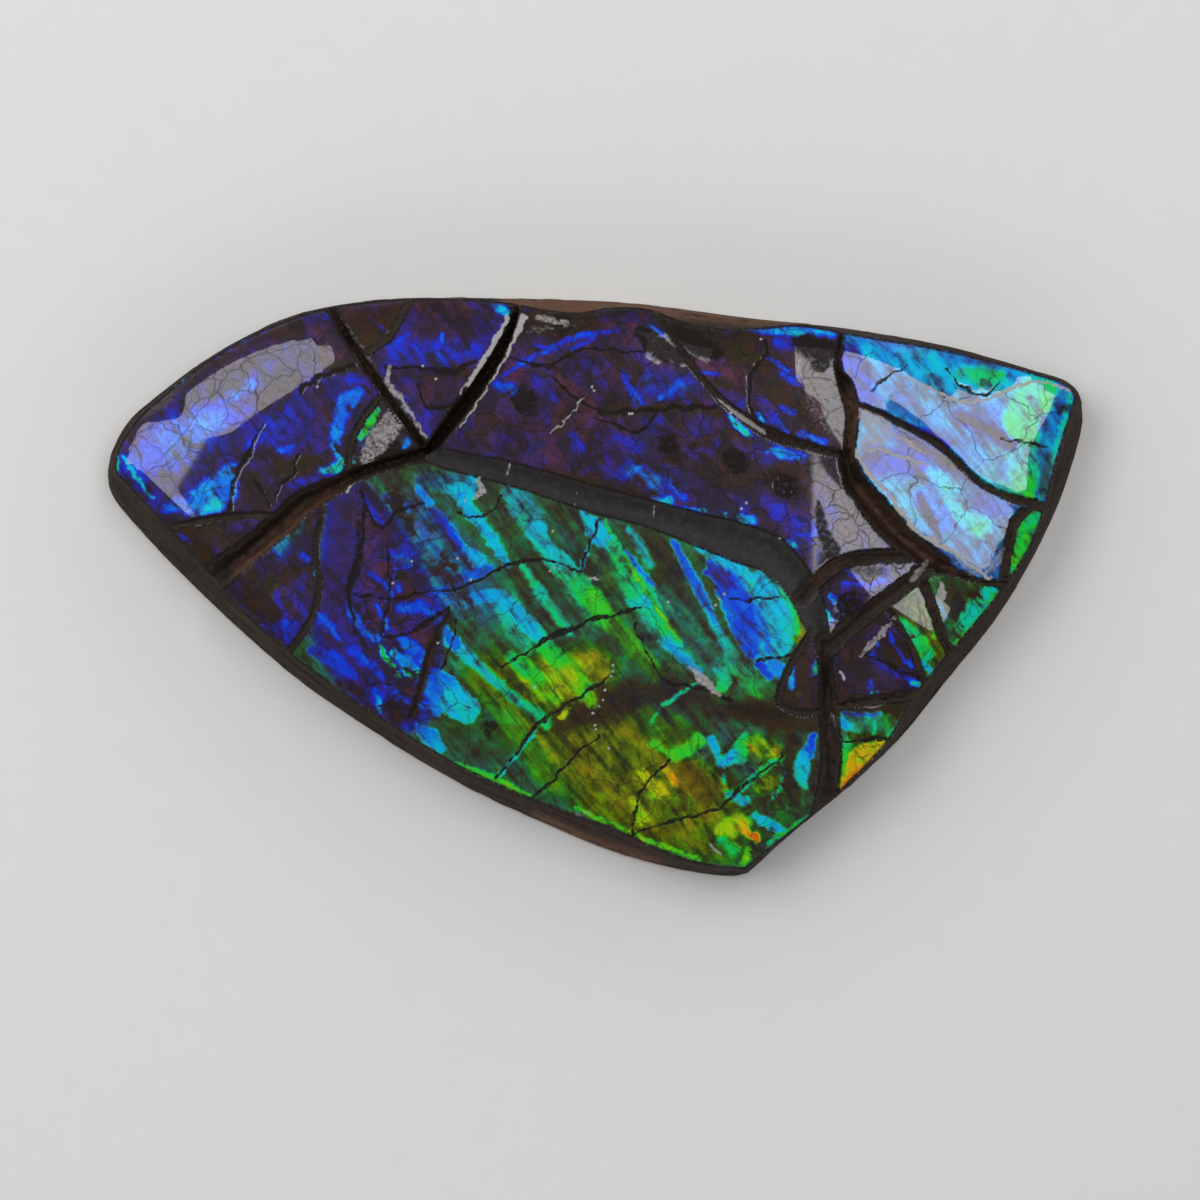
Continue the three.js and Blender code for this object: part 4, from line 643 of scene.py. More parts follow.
        flash(0.86, 0.90, 0.98, 0.25, (28.8, -15.6, 0.8), (27.0, -16.8, 2.4), (25.6, -18.4, 2.6),
              (24.4, -20.2, 1.4)),
        flash(0.70, 0.76, 0.98, 0.3, (25.4, -15.4, 0.7), (24.8, -17.2, 1.0), (24.0, -19.6, 0.9)),
        flash(0.97, 1.00, 0.95, 0.3, (28.0, -16.8, 0.7), (26.4, -18.4, 0.9), (25.0, -19.8, 0.7)),
        flash(0.62, 0.62, 0.95, 0.1, (24.2, -14.8, 0.2), (24.0, -16.4, 0.35), (23.8, -18.2, 0.3)),
    ),
    "ironstone_rock": (
        rust(0.90, 0.8, (-9.0, 28.6, 1.6), (-4.0, 28.4, 2.0), (2.0, 28.6, 1.6), (9.0, 27.6, 1.0),
             (20.0, 26.6, 0.8)),
        rust(0.60, 0.6, (-20.0, 29.4, 0.8), (-14.0, 29.4, 0.8)),
        rust(0.70, 0.8, (-6.0, -23.0, 0.8), (0.0, -26.0, 1.6), (6.0, -28.2, 1.6)),
        rust(0.45, 0.8, (-36.0, 1.6, 1.0), (-31.0, 5.6, 1.2), (-25.0, 10.6, 0.8)),
        rust(0.55, 0.6, (25.4, 19.0, 1.0), (25.8, 16.4, 1.4), (25.4, 12.8, 1.0)),
        rust(0.50, 0.6, (26.6, 9.6, 0.8), (30.4, 5.4, 1.0), (34.6, 2.4, 0.8), (40.0, 1.4, 0.8)),
        rust(0.50, 0.6, (22.0, 1.0, 0.8), (24.8, 2.8, 0.8)),
        calcite(0.85, 0.2, (11.6, 19.0, 0.4), (13.8, 17.5, 0.6), (17.0, 15.4, 0.4)),
        calcite(0.70, 0.1, (-8.4, 12.9, 0.14), (-8.7, 11.3, 0.2)),
        calcite(0.60, 0.1, (-1.8, 9.5, 0.14), (-2.0, 8.0, 0.2)),
        calcite(0.60, 0.1, (5.8, 8.2, 0.12), (5.9, 6.8, 0.16)),
        calcite(0.55, 0.4, (-20.4, 20.0, 0.5), (-18.8, 18.2, 0.7)),
        calcite(0.40, 0.2, (23.6, -12.4, 0.5), (24.0, -13.8, 0.5)),
        # Painted highlights: small white glints on the rock beside the triangle and green plates.
        calcite(0.50, 0.2, (30.2, -2.8, 0.6), (29.2, -3.8, 0.6)),
        calcite(0.50, 0.2, (31.6, 0.6, 0.6), (32.6, 1.8, 0.9), (33.2, 2.6, 0.6)),
    ),
}

# Cracks that run inside a plate as shallow grooves, as courses of x, y and width.
SCARS = (
    ((-29.6, 19.6, 0.3), (-27.5, 20.9, 0.5), (-25.5, 21.6, 0.4), (-24.0, 22.2, 0.3)),
    ((-33.2, 16.2, 0.2), (-34.5, 13.7, 0.3), (-35.7, 11.7, 0.4), (-36.6, 7.4, 0.3)),
    ((-29.7, 13.2, 0.2), (-30.3, 11.2, 0.3), (-31.6, 10.0, 0.2), (-31.8, 8.6, 0.2)),
    ((-34.2, 10.9, 0.2), (-33.2, 9.4, 0.3), (-32.5, 8.0, 0.2)),
    ((-21.0, 22.0, 0.3), (-17.5, 21.9, 0.3), (-14.5, 21.5, 0.5), (-11.8, 22.5, 0.3)),
    ((-17.8, 20.2, 0.2), (-16.6, 17.8, 0.3), (-14.2, 18.4, 0.2)),
    ((0.5, 17.5, 0.4), (4.5, 17.5, 0.4), (8.5, 17.9, 0.4), (12.0, 17.9, 0.4)),
    ((0.0, 16.9, 0.2), (3.6, 15.5, 0.3), (4.8, 15.8, 0.3), (6.0, 17.3, 0.2)),
    ((-8.8, 23.0, 0.2), (-5.0, 22.0, 0.4), (-1.0, 23.8, 0.3), (4.0, 23.4, 0.2), (7.4, 23.9, 0.2)),
    ((-4.6, 21.4, 0.2), (-2.0, 18.8, 0.3), (0.4, 17.6, 0.2)),
    ((17.0, 24.7, 0.3), (17.3, 23.4, 0.3), (16.0, 22.2, 0.3), (15.3, 18.7, 0.3), (16.0, 16.9, 0.3)),
    ((0.5, 6.8, 0.2), (-0.7, 4.0, 0.2), (-1.4, 1.6, 0.2)),
    ((-14.2, -0.4, 0.3), (-11.5, 0.7, 0.3), (-8.5, 2.2, 0.3), (-5.0, 2.7, 0.3), (-1.5, 1.5, 0.2)),
    ((-9.2, -7.9, 0.2), (-6.5, -6.3, 0.2), (-4.0, -4.8, 0.4), (0.5, -3.1, 0.3), (4.5, -2.1, 0.2)),
    ((-14.5, -2.2, 0.3), (-16.5, -6.3, 0.4), (-17.5, -10.3, 0.4), (-18.3, -12.8, 0.4)),
    ((7.5, -17.3, 0.2), (5.5, -19.3, 0.2), (4.2, -21.3, 0.2), (3.7, -24.5, 0.2)),
    ((3.7, -24.8, 0.2), (6.5, -23.8, 0.2), (9.5, -23.0, 0.2), (12.5, -22.1, 0.2)),
    ((-20.7, 4.0, 0.2), (-20.5, -1.0, 0.2), (-21.0, -3.5, 0.3), (-21.3, -5.5, 0.2)),
    ((-24.0, -0.8, 0.2), (-20.5, -1.2, 0.2), (-16.5, -0.5, 0.2), (-14.0, -0.6, 0.3)),
    ((-21.2, -5.3, 0.2), (-18.0, -4.3, 0.3), (-14.5, -1.8, 0.3)),
    ((-23.0, 8.0, 0.3), (-23.4, 4.0, 0.3), (-24.5, 0.0, 0.4), (-24.0, -4.6, 0.2)),
    ((-15.5, -8.2, 0.2), (-14.2, -5.5, 0.2), (-13.8, -3.2, 0.2)),
    ((13.5, -1.1, 0.2), (15.5, -1.3, 0.2), (18.4, -0.9, 0.2)),
    ((16.2, -7.3, 0.2), (19.6, -6.8, 0.3)),
    ((35.0, 21.7, 0.1), (37.0, 20.0, 0.2), (39.0, 19.2, 0.2), (40.5, 20.5, 0.1)),
    ((27.5, 19.8, 0.1), (29.2, 20.9, 0.2), (31.0, 22.2, 0.1)),
    ((40.5, 14.9, 0.1), (43.0, 14.5, 0.2), (45.2, 14.1, 0.2)),
    ((-10.0, -19.2, 0.2), (-8.0, -16.8, 0.2), (-6.0, -14.0, 0.3), (-3.5, -12.2, 0.2), (-0.5, -10.3, 0.2),
     (1.8, -8.7, 0.2)),
    ((-6.2, -21.0, 0.2), (-4.5, -19.5, 0.3), (-2.0, -16.9, 0.2), (0.5, -14.8, 0.2)),
    ((4.0, -3.8, 0.2), (7.0, -9.4, 0.2), (10.4, -10.0, 0.3), (13.6, -11.4, 0.3)),
    ((-23.4, 9.6, 0.2), (-21.6, 6.0, 0.3), (-19.4, 7.6, 0.3), (-17.0, 8.2, 0.2)),
    ((-13.8, 7.2, 0.2), (-11.0, 7.2, 0.2), (-9.0, 9.2, 0.2)),
    ((18.8, -17.0, 0.2), (16.4, -18.8, 0.2), (14.2, -20.4, 0.3), (12.6, -22.0, 0.2)),
    ((24.6, -15.4, 0.2), (28.8, -15.2, 0.3), (29.6, -15.4, 0.2)),
    ((27.0, -6.6, 0.2), (29.6, -8.0, 0.3), (32.4, -9.2, 0.2)),
)

# Pitted hollows, as x, y and radius.
PITS = (
    (-7.0, 18.6, 1.5), (14.0, 12.6, 1.3), (7.4, 14.2, 1.2), (19.0, 10.0, 1.5), (-10.6, -14.0, 0.9),
    (22.4, 22.4, 1.2), (25.4, -1.8, 1.6), (-3.4, 26.4, 1.4), (-20.4, 13.6, 1.2),
)

# Bright specks, as x and y: tiny calcite chips painted white, which also stand for the painted glints the
# chips catch.
CHIP_SPECKS_AND_GLINTS = (
    (-0.3, 20.0), (-0.1, 19.6), (0.0, 0.9), (1.8, -7.8), (1.8, -8.4), (1.6, -8.9), (1.0, -10.3), (0.8, -11.3),
    (0.4, -11.9), (-0.2, -12.6), (0.0, -13.8), (0.1, -14.2), (1.4, -16.1), (-27.8, 20.0), (-13.0, 8.6),
    (7.3, -1.5),
    (-4.2, 5.6), (-4.5, 1.6), (-4.0, 1.9), (-15.7, -5.6), (-13.7, 2.9), (-12.4, 0.7), (13.6, 17.4),
    (12.0, -1.8),
    (12.4, -1.2), (12.9, -0.7), (16.6, 24.8), (9.8, -8.4), (15.1, 8.4), (14.6, 7.8), (-20.2, 0.4),
    (-18.3, 2.6),
    (-17.2, 22.1), (-15.9, 20.8), (-6.0, -10.0), (18.4, 4.8), (3.4, 17.3), (3.7, 17.3),
)

GRID = 0.13
ROCK_GRID = 0.24
LINE_STEP = 0.35
RIM_LEVELS = 30  # rings up the ground side of the rock
RING_HEIGHT = 6.4  # how far over the bevel they reach
LAST_RING = 14.0  # the last one stands clear above the face
SHELL_BLANK = (98.0, 58.4)
ROCK_BLANK = (100.0, 60.0)
CUT_REACH = 3.0  # how far a cutting block reaches above and below the flat shell
LEAST_HALF = 0.06  # half the least width of a crack
SMOOTH_ANGLE = 38  # in degrees: faces that meet at less than this are shaded smooth
FAR = 99.0  # stands for far away, in mm


# Numbers to colours

def linear(hexed):
    """An sRGB hex colour, such as 0x2B2119, as the linear RGB that the sockets take."""
    parts = [((hexed >> shift) & 255) / 255 for shift in (16, 8, 0)]
    return tuple(c / 12.92 if c <= 0.04045 else ((c + 0.055) / 1.055) ** 2.4 for c in parts)


# Curves and fields over the slab, all as arrays in mm

def smooth(points, step):
    """Evenly spaced points on the centripetal curve through points; extra columns are carried along."""
    p = np.array(points, float)
    p = np.vstack([2 * p[0] - p[1], p, 2 * p[-1] - p[-2]])
    fine = []
    for a, b, c, d in zip(p, p[1:], p[2:], p[3:]):
        gaps = [math.sqrt(max(math.dist(q[:2], r[:2]), 1e-6)) for q, r in ((a, b), (b, c), (c, d))]
        k = np.cumsum([0.0] + gaps)
        t = np.linspace(k[1], k[2], 12, endpoint=False)[:, None]
        ab = ((k[1] - t) * a + (t - k[0]) * b) / (k[1] - k[0])
        bc = ((k[2] - t) * b + (t - k[1]) * c) / (k[2] - k[1])
        cd = ((k[3] - t) * c + (t - k[2]) * d) / (k[3] - k[2])
        abc = ((k[2] - t) * ab + (t - k[0]) * bc) / (k[2] - k[0])
        bcd = ((k[3] - t) * bc + (t - k[1]) * cd) / (k[3] - k[1])
        fine.append(((k[2] - t) * abc + (t - k[1]) * bcd) / (k[2] - k[1]))
    fine = np.vstack(fine + [p[-2]])
    run = np.concatenate([[0], np.cumsum(np.hypot(*np.diff(fine[:, :2], axis=0).T))])
    even = np.linspace(0, run[-1], max(2, round(run[-1] / step)) + 1)
    return np.column_stack([np.interp(even, run, column) for column in fine.T])


def side_counts(step):
    """How many steps each side of the two outlines takes, the same on both."""
    return [len(smooth(side, step)) - 1 for side in RIM_SIDES]


def closed_outline(sides, step):
    """Points round a four-sided outline, with the counts of side_counts."""
    rows = []
    for side, count in zip(sides, side_counts(step)):
        line = smooth(side, 0.1)
        run = np.linspace(0, len(line) - 1, count + 1)[:-1]
        rows.append(np.column_stack([np.interp(run, np.arange(len(line)), c) for c in line.T]))
    return np.vstack(rows)


def noise(x, y, size, seed):
    """Smooth noise from -1 to 1, its lumps about size mm across."""
    turns = np.random.default_rng(seed).uniform(0, 2 * math.pi, (128, 128))
    u, v = np.asarray(x) / size, np.asarray(y) / size
    i, j = np.floor(u).astype(int), np.floor(v).astype(int)
    fu, fv = u - i, v - j

    def corner(a, b):
        turn = turns[(i + a) % 128, (j + b) % 128]
        return np.cos(turn) * (fu - a) + np.sin(turn) * (fv - b)

    su, sv = fu * fu * (3 - 2 * fu), fv * fv * (3 - 2 * fv)
    low = corner(0, 0) * (1 - su) + corner(1, 0) * su
    high = corner(0, 1) * (1 - su) + corner(1, 1) * su
    return np.clip(1.5 * (low * (1 - sv) + high * sv), -1, 1)


def layered(x, y, size, seed, layers=3):
    """Noise with finer noise on it, each layer half the size and half as strong."""
    return sum(noise(x, y, size / 2**k, seed + k) / 2**k for k in range(layers)) / 1.5


def step_up(value, low, high):
    """0 below low, 1 above high, smooth between."""
    t = np.clip((value - low) / (high - low), 0, 1)
    return t * t * (3 - 2 * t)


def near_course(x, y, line, reach):
    """Distance from a line of points and, within reach of it, its carried columns, its run and the side."""
    carried = line.shape[1] - 2
    distance = np.full(len(x), FAR)
    values = np.zeros((len(x), carried + 2))
    low, high = line[:, :2].min(0) - reach, line[:, :2].max(0) + reach
    inside = np.flatnonzero((x > low[0]) & (x < high[0]) & (y > low[1]) & (y < high[1]))
    px, py = x[inside], y[inside]
    best = np.full(len(inside), FAR)
    found = np.zeros((len(inside), carried + 2))
    for k, (a, b) in enumerate(zip(line, line[1:])):
        span = b[:2] - a[:2]
        t = np.clip(((px - a[0]) * span[0] + (py - a[1]) * span[1]) / max(span @ span, 1e-9), 0, 1)
        gap = np.hypot(px - a[0] - t * span[0], py - a[1] - t * span[1])
        nearer = gap < best
        best[nearer] = gap[nearer]
        tn = t[nearer][:, None]
        found[nearer, :carried] = a[2:] * (1 - tn) + b[2:] * tn
        found[nearer, carried] = (k + tn[:, 0]) / (len(line) - 1)
        found[nearer, carried + 1] = (span[0] * (py - a[1]) - span[1] * (px - a[0]))[nearer]
    distance[inside] = best
    values[inside] = found
    return distance, values


FACE_EDGE = closed_outline(FACE_SIDES, 2.0)


def edge_distance(x, y):
    """Distance from the edge of the polished face."""
    return near_course(x, y, np.vstack([FACE_EDGE, FACE_EDGE[:1]]), FAR)[0]


def face_height(x, y):
    """Height of the polished face over the sawn back: a low dome, rounded down along its edge."""
    dome = CROWN - FALL_ALONG * (x - CROWN_AT[0]) ** 2 - FALL_ACROSS * (y - CROWN_AT[1]) ** 2
    lower_left = SHARPER_LOWER_LEFT * step_up(-0.6 * x - 0.8 * y, 9, 15)
    right = SHARPER_RIGHT * step_up(0.82 * x - 0.57 * y, 18, 24)
    band = EDGE_BAND * (1 - np.maximum(lower_left, right))
    near = np.clip(1 - edge_distance(x, y) / band, 0, 1)
    return dome - EDGE_ROUND * band / EDGE_BAND * near**2


def waves(x, y):
    """The buckles of the right-hand shell."""
    strength = step_up(x, WAVE_FROM, WAVE_FROM + 0.8 * WAVE_LENGTH)
    return WAVE_HEIGHT * strength * np.sin((WAVE_SKEW * x + y) * 2 * math.pi / WAVE_LENGTH + WAVE_TURN)


def wobble(x, y):
    """How far a broken edge wanders, from -1 to 1."""
    return 0.7 * noise(x, y, 1.3, 11) + 0.5 * noise(x, y, 0.5, 12)


def crack_line(crack):
    """A crack's course with even steps, the narrow ones closed up a little more."""
    line = smooth(crack["course"], LINE_STEP)
    line[:, 2] *= 0.65 + 0.35 * step_up(line[:, 2], 0.4, 1.2)
    return line


def leftwards(line):
    """The unit direction to the left of a course at each of its points."""
    ahead = np.gradient(line[:, :2], axis=0)
    ahead /= np.hypot(*ahead.T)[:, None]
    return np.column_stack([-ahead[:, 1], ahead[:, 0]])


# Meshes, made as by hand

def only(piece):
    """Selects one piece and makes it active."""
    bpy.ops.object.select_all(action="DESELECT")
    piece.select_set(True)
    bpy.context.view_layer.objects.active = piece


def coordinates(piece):
    """The piece's vertices in mm."""
    flat = np.empty(len(piece.data.vertices) * 3, np.float32)
    piece.data.vertices.foreach_get("co", flat)
    return flat.reshape(-1, 3).astype(float) / MM


def move_to(piece, places):
    """Moves the vertices to places in mm."""
    piece.data.vertices.foreach_set("co", (np.asarray(places) * MM).astype(np.float32).ravel())
    piece.data.update()


def grid_piece(name, columns, rows, place):
    """A grid laid out by place(u, v), which gives x, y and z for u and v from 0 to 1."""
    bpy.ops.object.select_all(action="DESELECT")
    bpy.ops.mesh.primitive_grid_add(x_subdivisions=columns, y_subdivisions=rows, size=1000)
    piece = bpy.context.active_object
    piece.name = name
    at = coordinates(piece) * MM / 1000 + 0.5
    move_to(piece, np.column_stack(place(at[:, 0], at[:, 1])))
    return piece


def edit(piece, mode="VERT"):
    """Opens a piece for editing with nothing selected."""
    only(piece)
    bpy.ops.object.mode_set(mode="EDIT")
    bpy.ops.mesh.select_mode(type=mode)
    bpy.ops.mesh.select_all(action="DESELECT")


def face_outwards():
    """Turns all faces of the piece being edited outwards, and ends the editing."""
    bpy.ops.mesh.select_all(action="SELECT")
    bpy.ops.mesh.normals_make_consistent(inside=False)
    bpy.ops.object.mode_set(mode="OBJECT")


def close_below(piece, depth):
    """Draws the open rim of a sheet down by depth and fills the bottom."""
    edit(piece, "EDGE")
    bpy.ops.mesh.select_non_manifold()
    bpy.ops.mesh.extrude_edges_move(TRANSFORM_OT_translate={"value": (0, 0, -depth * MM)})
    bpy.ops.mesh.edge_face_add()
    face_outwards()


def prism(name, line, low, high):
    """A straight-sided block through an outline, from height low to high."""
    bpy.ops.object.select_all(action="DESELECT")
    bpy.ops.mesh.primitive_circle_add(vertices=len(line), radius=1, fill_type="NGON")
    piece = bpy.context.active_object
    piece.name = name
    move_to(piece, np.column_stack([line[:, :2], np.full(len(line), low)]))
    edit(piece)
    bpy.ops.mesh.select_all(action="SELECT")
    bpy.ops.mesh.extrude_region_move(TRANSFORM_OT_translate={"value": (0, 0, (high - low) * MM)})
    face_outwards()
    return piece


def ribbon(name, line, half_left, half_right, low, high):
    """A block along a course, as far to its left and right as half_left and half_right."""
    across = leftwards(line)
    steps = np.arange(len(line))

    def place(u, v):
        at = u * (len(line) - 1)
        side = np.where(v > 0.5, np.interp(at, steps, half_left), -np.interp(at, steps, half_right))
        x = np.interp(at, steps, line[:, 0]) + side * np.interp(at, steps, across[:, 0])
        y = np.interp(at, steps, line[:, 1]) + side * np.interp(at, steps, across[:, 1])
        return x, y, np.full(len(u), high)

    piece = grid_piece(name, len(line) - 1, 1, place)
    close_below(piece, high - low)
    return piece


def boolean(piece, tool, operation):
    """Cuts, joins or keeps what the piece and the tool share, and removes the tool."""
    only(piece)
    cut = piece.modifiers.new("cut", "BOOLEAN")
    cut.operation = operation
    cut.solver = "MANIFOLD"
    cut.object = tool
    bpy.ops.object.modifier_apply(modifier=cut.name)
    if not piece.data.polygons:
        raise RuntimeError(f"nothing is left of {piece.name} after it meets {tool.name}")
    bpy.data.objects.remove(tool)


def crack_tools():
    """All cracks as one block to cut the shell with, their edges broken as the real ones are."""
    whole = None
    for name, crack in CRACKS.items():
        line = crack_line(crack)
        half = line[:, 2] / 2
        aside = half[:, None] * leftwards(line)
        half_left = half + crack["rough"] * wobble(*(line[:, :2] + aside).T)
        half_right = half + crack["rough"] * wobble(*(line[:, :2] - aside).T)
        tool = ribbon(name, line, np.maximum(half_left, LEAST_HALF), np.maximum(half_right, LEAST_HALF),
                      -CUT_REACH, CUT_REACH)
        if whole:
            boolean(whole, tool, "UNION")
        else:
            whole = tool
    return whole


def write_attribute(piece, name, values):
    """A number per vertex for the material to read."""
    piece.data.attributes.new(name, "FLOAT", "POINT")
    piece.data.attributes[name].data.foreach_set("value", np.asarray(values, np.float32))


def finish_piece(piece, material, slot, *nodes):
    """Gives a piece its material and shading, hangs it under the root body and hides the solids it stands
    for.
    """
    piece.data.materials.clear()
    piece.data.materials.append(material)
    only(piece)
    bpy.ops.object.shade_smooth_by_angle(angle=math.radians(SMOOTH_ANGLE))
    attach(piece, "root")
    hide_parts(*nodes)


# Nodes of the materials

def add(tree, kind, links=(), stops=(), **settings):
    """Adds a node with its settings; links give its inputs a socket or a value, stops fill its ramp."""
    node = tree.nodes.new(kind)
    for key, value in settings.items():
        setattr(node, key, value)
    for socket, source in links:
        if isinstance(source, bpy.types.NodeSocket):
            tree.links.new(source, node.inputs[socket])
        else:
            node.inputs[socket].default_value = source
    for k, (place, colour) in enumerate(stops):
        element = node.color_ramp.elements[k] if k < 2 else node.color_ramp.elements.new(place)
        element.position = place
        element.color = (*linear(colour), 1)
    return node


def new_material(name):
    """An empty material with its output node."""
    material = bpy.data.materials.new(name)
    material.use_nodes = True
    material.node_tree.nodes.clear()
    return material, material.node_tree


NACRE_STOPS = (
    (0.00, 0x5C304C), (0.07, 0x4A3070), (0.14, 0x382CA4), (0.20, 0x2230DC), (0.30, 0x0A48F0),
    (0.40, 0x0884FA),
    (0.50, 0x04CCF0), (0.58, 0x04D8A0), (0.68, 0x14D83C), (0.78, 0x5CD808), (0.86, 0xC0D808),
    (0.93, 0xF0BC08), (1.00, 0xE87808),
)
BODY_STOPS = ((0.0, 0x30263E), (0.25, 0x2A2024), (0.5, 0x3C2818), (0.75, 0x2A2812), (1.0, 0x524A0C))
CHANNELS = ("hue", "flash", "body", "broken", "dirt", "chalk_and_highlight")
FLAKE = 2.8  # size of the flakes of shattered shell
SPLINTER = 0.95  # size of the smaller flakes within them
HAIRLINE = 6.5  # size of the areas between long hairline cracks
SEAM_REACH = (0.05, 0.09, 0.015)  # how far clay reaches from the edges of the three, as a share of their size
SEAM_COVER = (0.95, 0.5, 0.75)  # and how much it covers there
STREAK_TURN = -52  # direction of the growth streaks, in degrees
CLAY_COLOUR = 0x1A1411
RUST_COLOUR = 0x5E4230
GREY_STOPS = ((0.3, 0x151313), (0.5, 0x201D1D), (0.7, 0x302C2B))


def shattered(tree, bent):
    """Shattered shell: random numbers for each flake and splinter, and the distances to the edges of the
    flakes, the splinters and the areas between hairline cracks."""
    numbers = []
    for size in (FLAKE, SPLINTER):
        flake = add(tree, "ShaderNodeTexVoronoi", [("Vector", bent), ("Scale", 1 / (size * MM))],
                    voronoi_dimensions="2D")
        numbers.append(add(tree, "ShaderNodeSeparateColor", [("Color", flake.outputs["Color"])]).outputs)
    edges = []
    for size in (FLAKE, SPLINTER, HAIRLINE):
        edge = add(tree, "ShaderNodeTexVoronoi", [("Vector", bent), ("Scale", 1 / (size * MM))],
                   voronoi_dimensions="2D", feature="DISTANCE_TO_EDGE")
        edges.append(edge.outputs["Distance"])
    return numbers, edges


def unevenness(tree, place, bent, broken):
    """How unevenly the colour shows. Returns the growth streaks along the ribs, the fine dapple of the
    tablets, drawn coarser than it is, and both together with clouds that are stronger in broken shell."""
    along = add(tree, "ShaderNodeMapping", [("Vector", place), ("Scale", (7, 1, 1)),
                ("Rotation", (0, 0, math.radians(STREAK_TURN)))], vector_type="TEXTURE")
    streak = add(tree, "ShaderNodeTexNoise", [("Vector", along.outputs["Vector"]), ("Scale", 1 / (0.8 * MM)),
                 ("Detail", 4.0)])
    grain = add(tree, "ShaderNodeTexNoise", [("Vector", place), ("Scale", 1 / (0.35 * MM)), ("Detail", 4.0),
                ("Roughness", 0.65)])
    mottle = add(tree, "ShaderNodeTexNoise", [("Vector", bent), ("Scale", 1 / (1.5 * MM)), ("Detail", 5.0),
                 ("Roughness", 0.62)])
    of_streak = add(tree, "ShaderNodeMapRange", [("Value", streak.outputs["Fac"]), ("From Min", 0.37),
                    ("From Max", 0.63), ("To Min", -0.4), ("To Max", 0.4)])
    dapple = add(tree, "ShaderNodeMapRange", [("Value", grain.outputs["Fac"]), ("From Min", 0.3),
                 ("From Max", 0.7), ("To Min", -0.12), ("To Max", 0.12)])
    of_mottle = add(tree, "ShaderNodeMapRange", [("Value", mottle.outputs["Fac"]), ("From Min", 0.3),
                    ("From Max", 0.7), ("To Min", -0.75), ("To Max", 0.75)])
    ragged_share = add(tree, "ShaderNodeMath", [(0, broken), (1, 0.3)])
    clouds = add(tree, "ShaderNodeMath", [(0, of_mottle.outputs["Result"]), (1, ragged_share.outputs[0])],
                 operation="MULTIPLY")
    speckle = add(tree, "ShaderNodeMath", [(0, of_streak.outputs["Result"]), (1, dapple.outputs["Result"])])
    uneven = add(tree, "ShaderNodeMath", [(0, speckle.outputs[0]), (1, clouds.outputs[0])])
    return streak.outputs["Fac"], dapple.outputs["Result"], uneven.outputs[0]


def interference(tree, hue, broken, own, small, streak):
    """The interference colour at each point: the hue, turned a little by flake, splinter and streak."""
    by_flake = add(tree, "ShaderNodeMapRange", [("Value", own["Red"]), ("To Min", -0.08), ("To Max", 0.08)])
    by_small = add(tree, "ShaderNodeMapRange", [("Value", small["Red"]), ("To Min", -0.05),
                   ("To Max", 0.05)])
    turn = add(tree, "ShaderNodeMath", [(0, by_flake.outputs["Result"]), (1, by_small.outputs["Result"])])
    turned = add(tree, "ShaderNodeMath", [(0, turn.outputs[0]), (1, broken), (2, hue)],
                 operation="MULTIPLY_ADD")
    by_streak = add(tree, "ShaderNodeMapRange", [("Value", streak), ("From Min", 0.3), ("From Max", 0.7),
                    ("To Min", -0.035), ("To Max", 0.035)])
    tint = add(tree, "ShaderNodeMath", [(0, turned.outputs[0]), (1, by_streak.outputs["Result"])])
    return add(tree, "ShaderNodeValToRGB", [("Fac", tint.outputs[0])], NACRE_STOPS).outputs["Color"]


def shell_colour(tree, flash, body, broken, own, small, colour, uneven, iridescence):
    """The dark body of the shell with the interference colour over it, less of it in dull flakes."""
    of_flake = add(tree, "ShaderNodeMapRange", [("Value", own["Green"]), ("To Min", -0.6),
                   ("To Max", 0.45)])
    of_small = add(tree, "ShaderNodeMapRange", [("Value", small["Green"]), ("To Min", -0.45),
                   ("To Max", 0.4)])
    dull = add(tree, "ShaderNodeMath", [(0, of_flake.outputs["Result"]), (1, of_small.outputs["Result"])])
    level = add(tree, "ShaderNodeMath", [(0, uneven), (1, 1.0)])
    share = add(tree, "ShaderNodeMath", [(0, dull.outputs[0]), (1, broken), (2, level.outputs[0])],
                operation="MULTIPLY_ADD")
    shown = add(tree, "ShaderNodeMath", [(0, share.outputs[0]), (1, flash)], operation="MULTIPLY")
    lit = add(tree, "ShaderNodeMapRange", [("Value", shown.outputs[0]), ("From Max", 0.95),
              ("To Max", iridescence)], interpolation_type="SMOOTHSTEP")
    by_body = add(tree, "ShaderNodeMapRange", [("Value", own["Blue"]), ("To Min", -0.15), ("To Max", 0.45)])
    flaked = add(tree, "ShaderNodeMath", [(0, by_body.outputs["Result"]), (1, broken), (2, body)],
                 operation="MULTIPLY_ADD")
    tone = add(tree, "ShaderNodeMath", [(0, uneven), (1, 0.3), (2, flaked.outputs[0])],
               operation="MULTIPLY_ADD")
    under = add(tree, "ShaderNodeValToRGB", [("Fac", tone.outputs[0])], BODY_STOPS)
    shell = add(tree, "ShaderNodeMix", [("Factor", lit.outputs["Result"]), ("A", under.outputs["Color"]),
                ("B", colour)], data_type="RGBA")
    return shell.outputs["Result"]


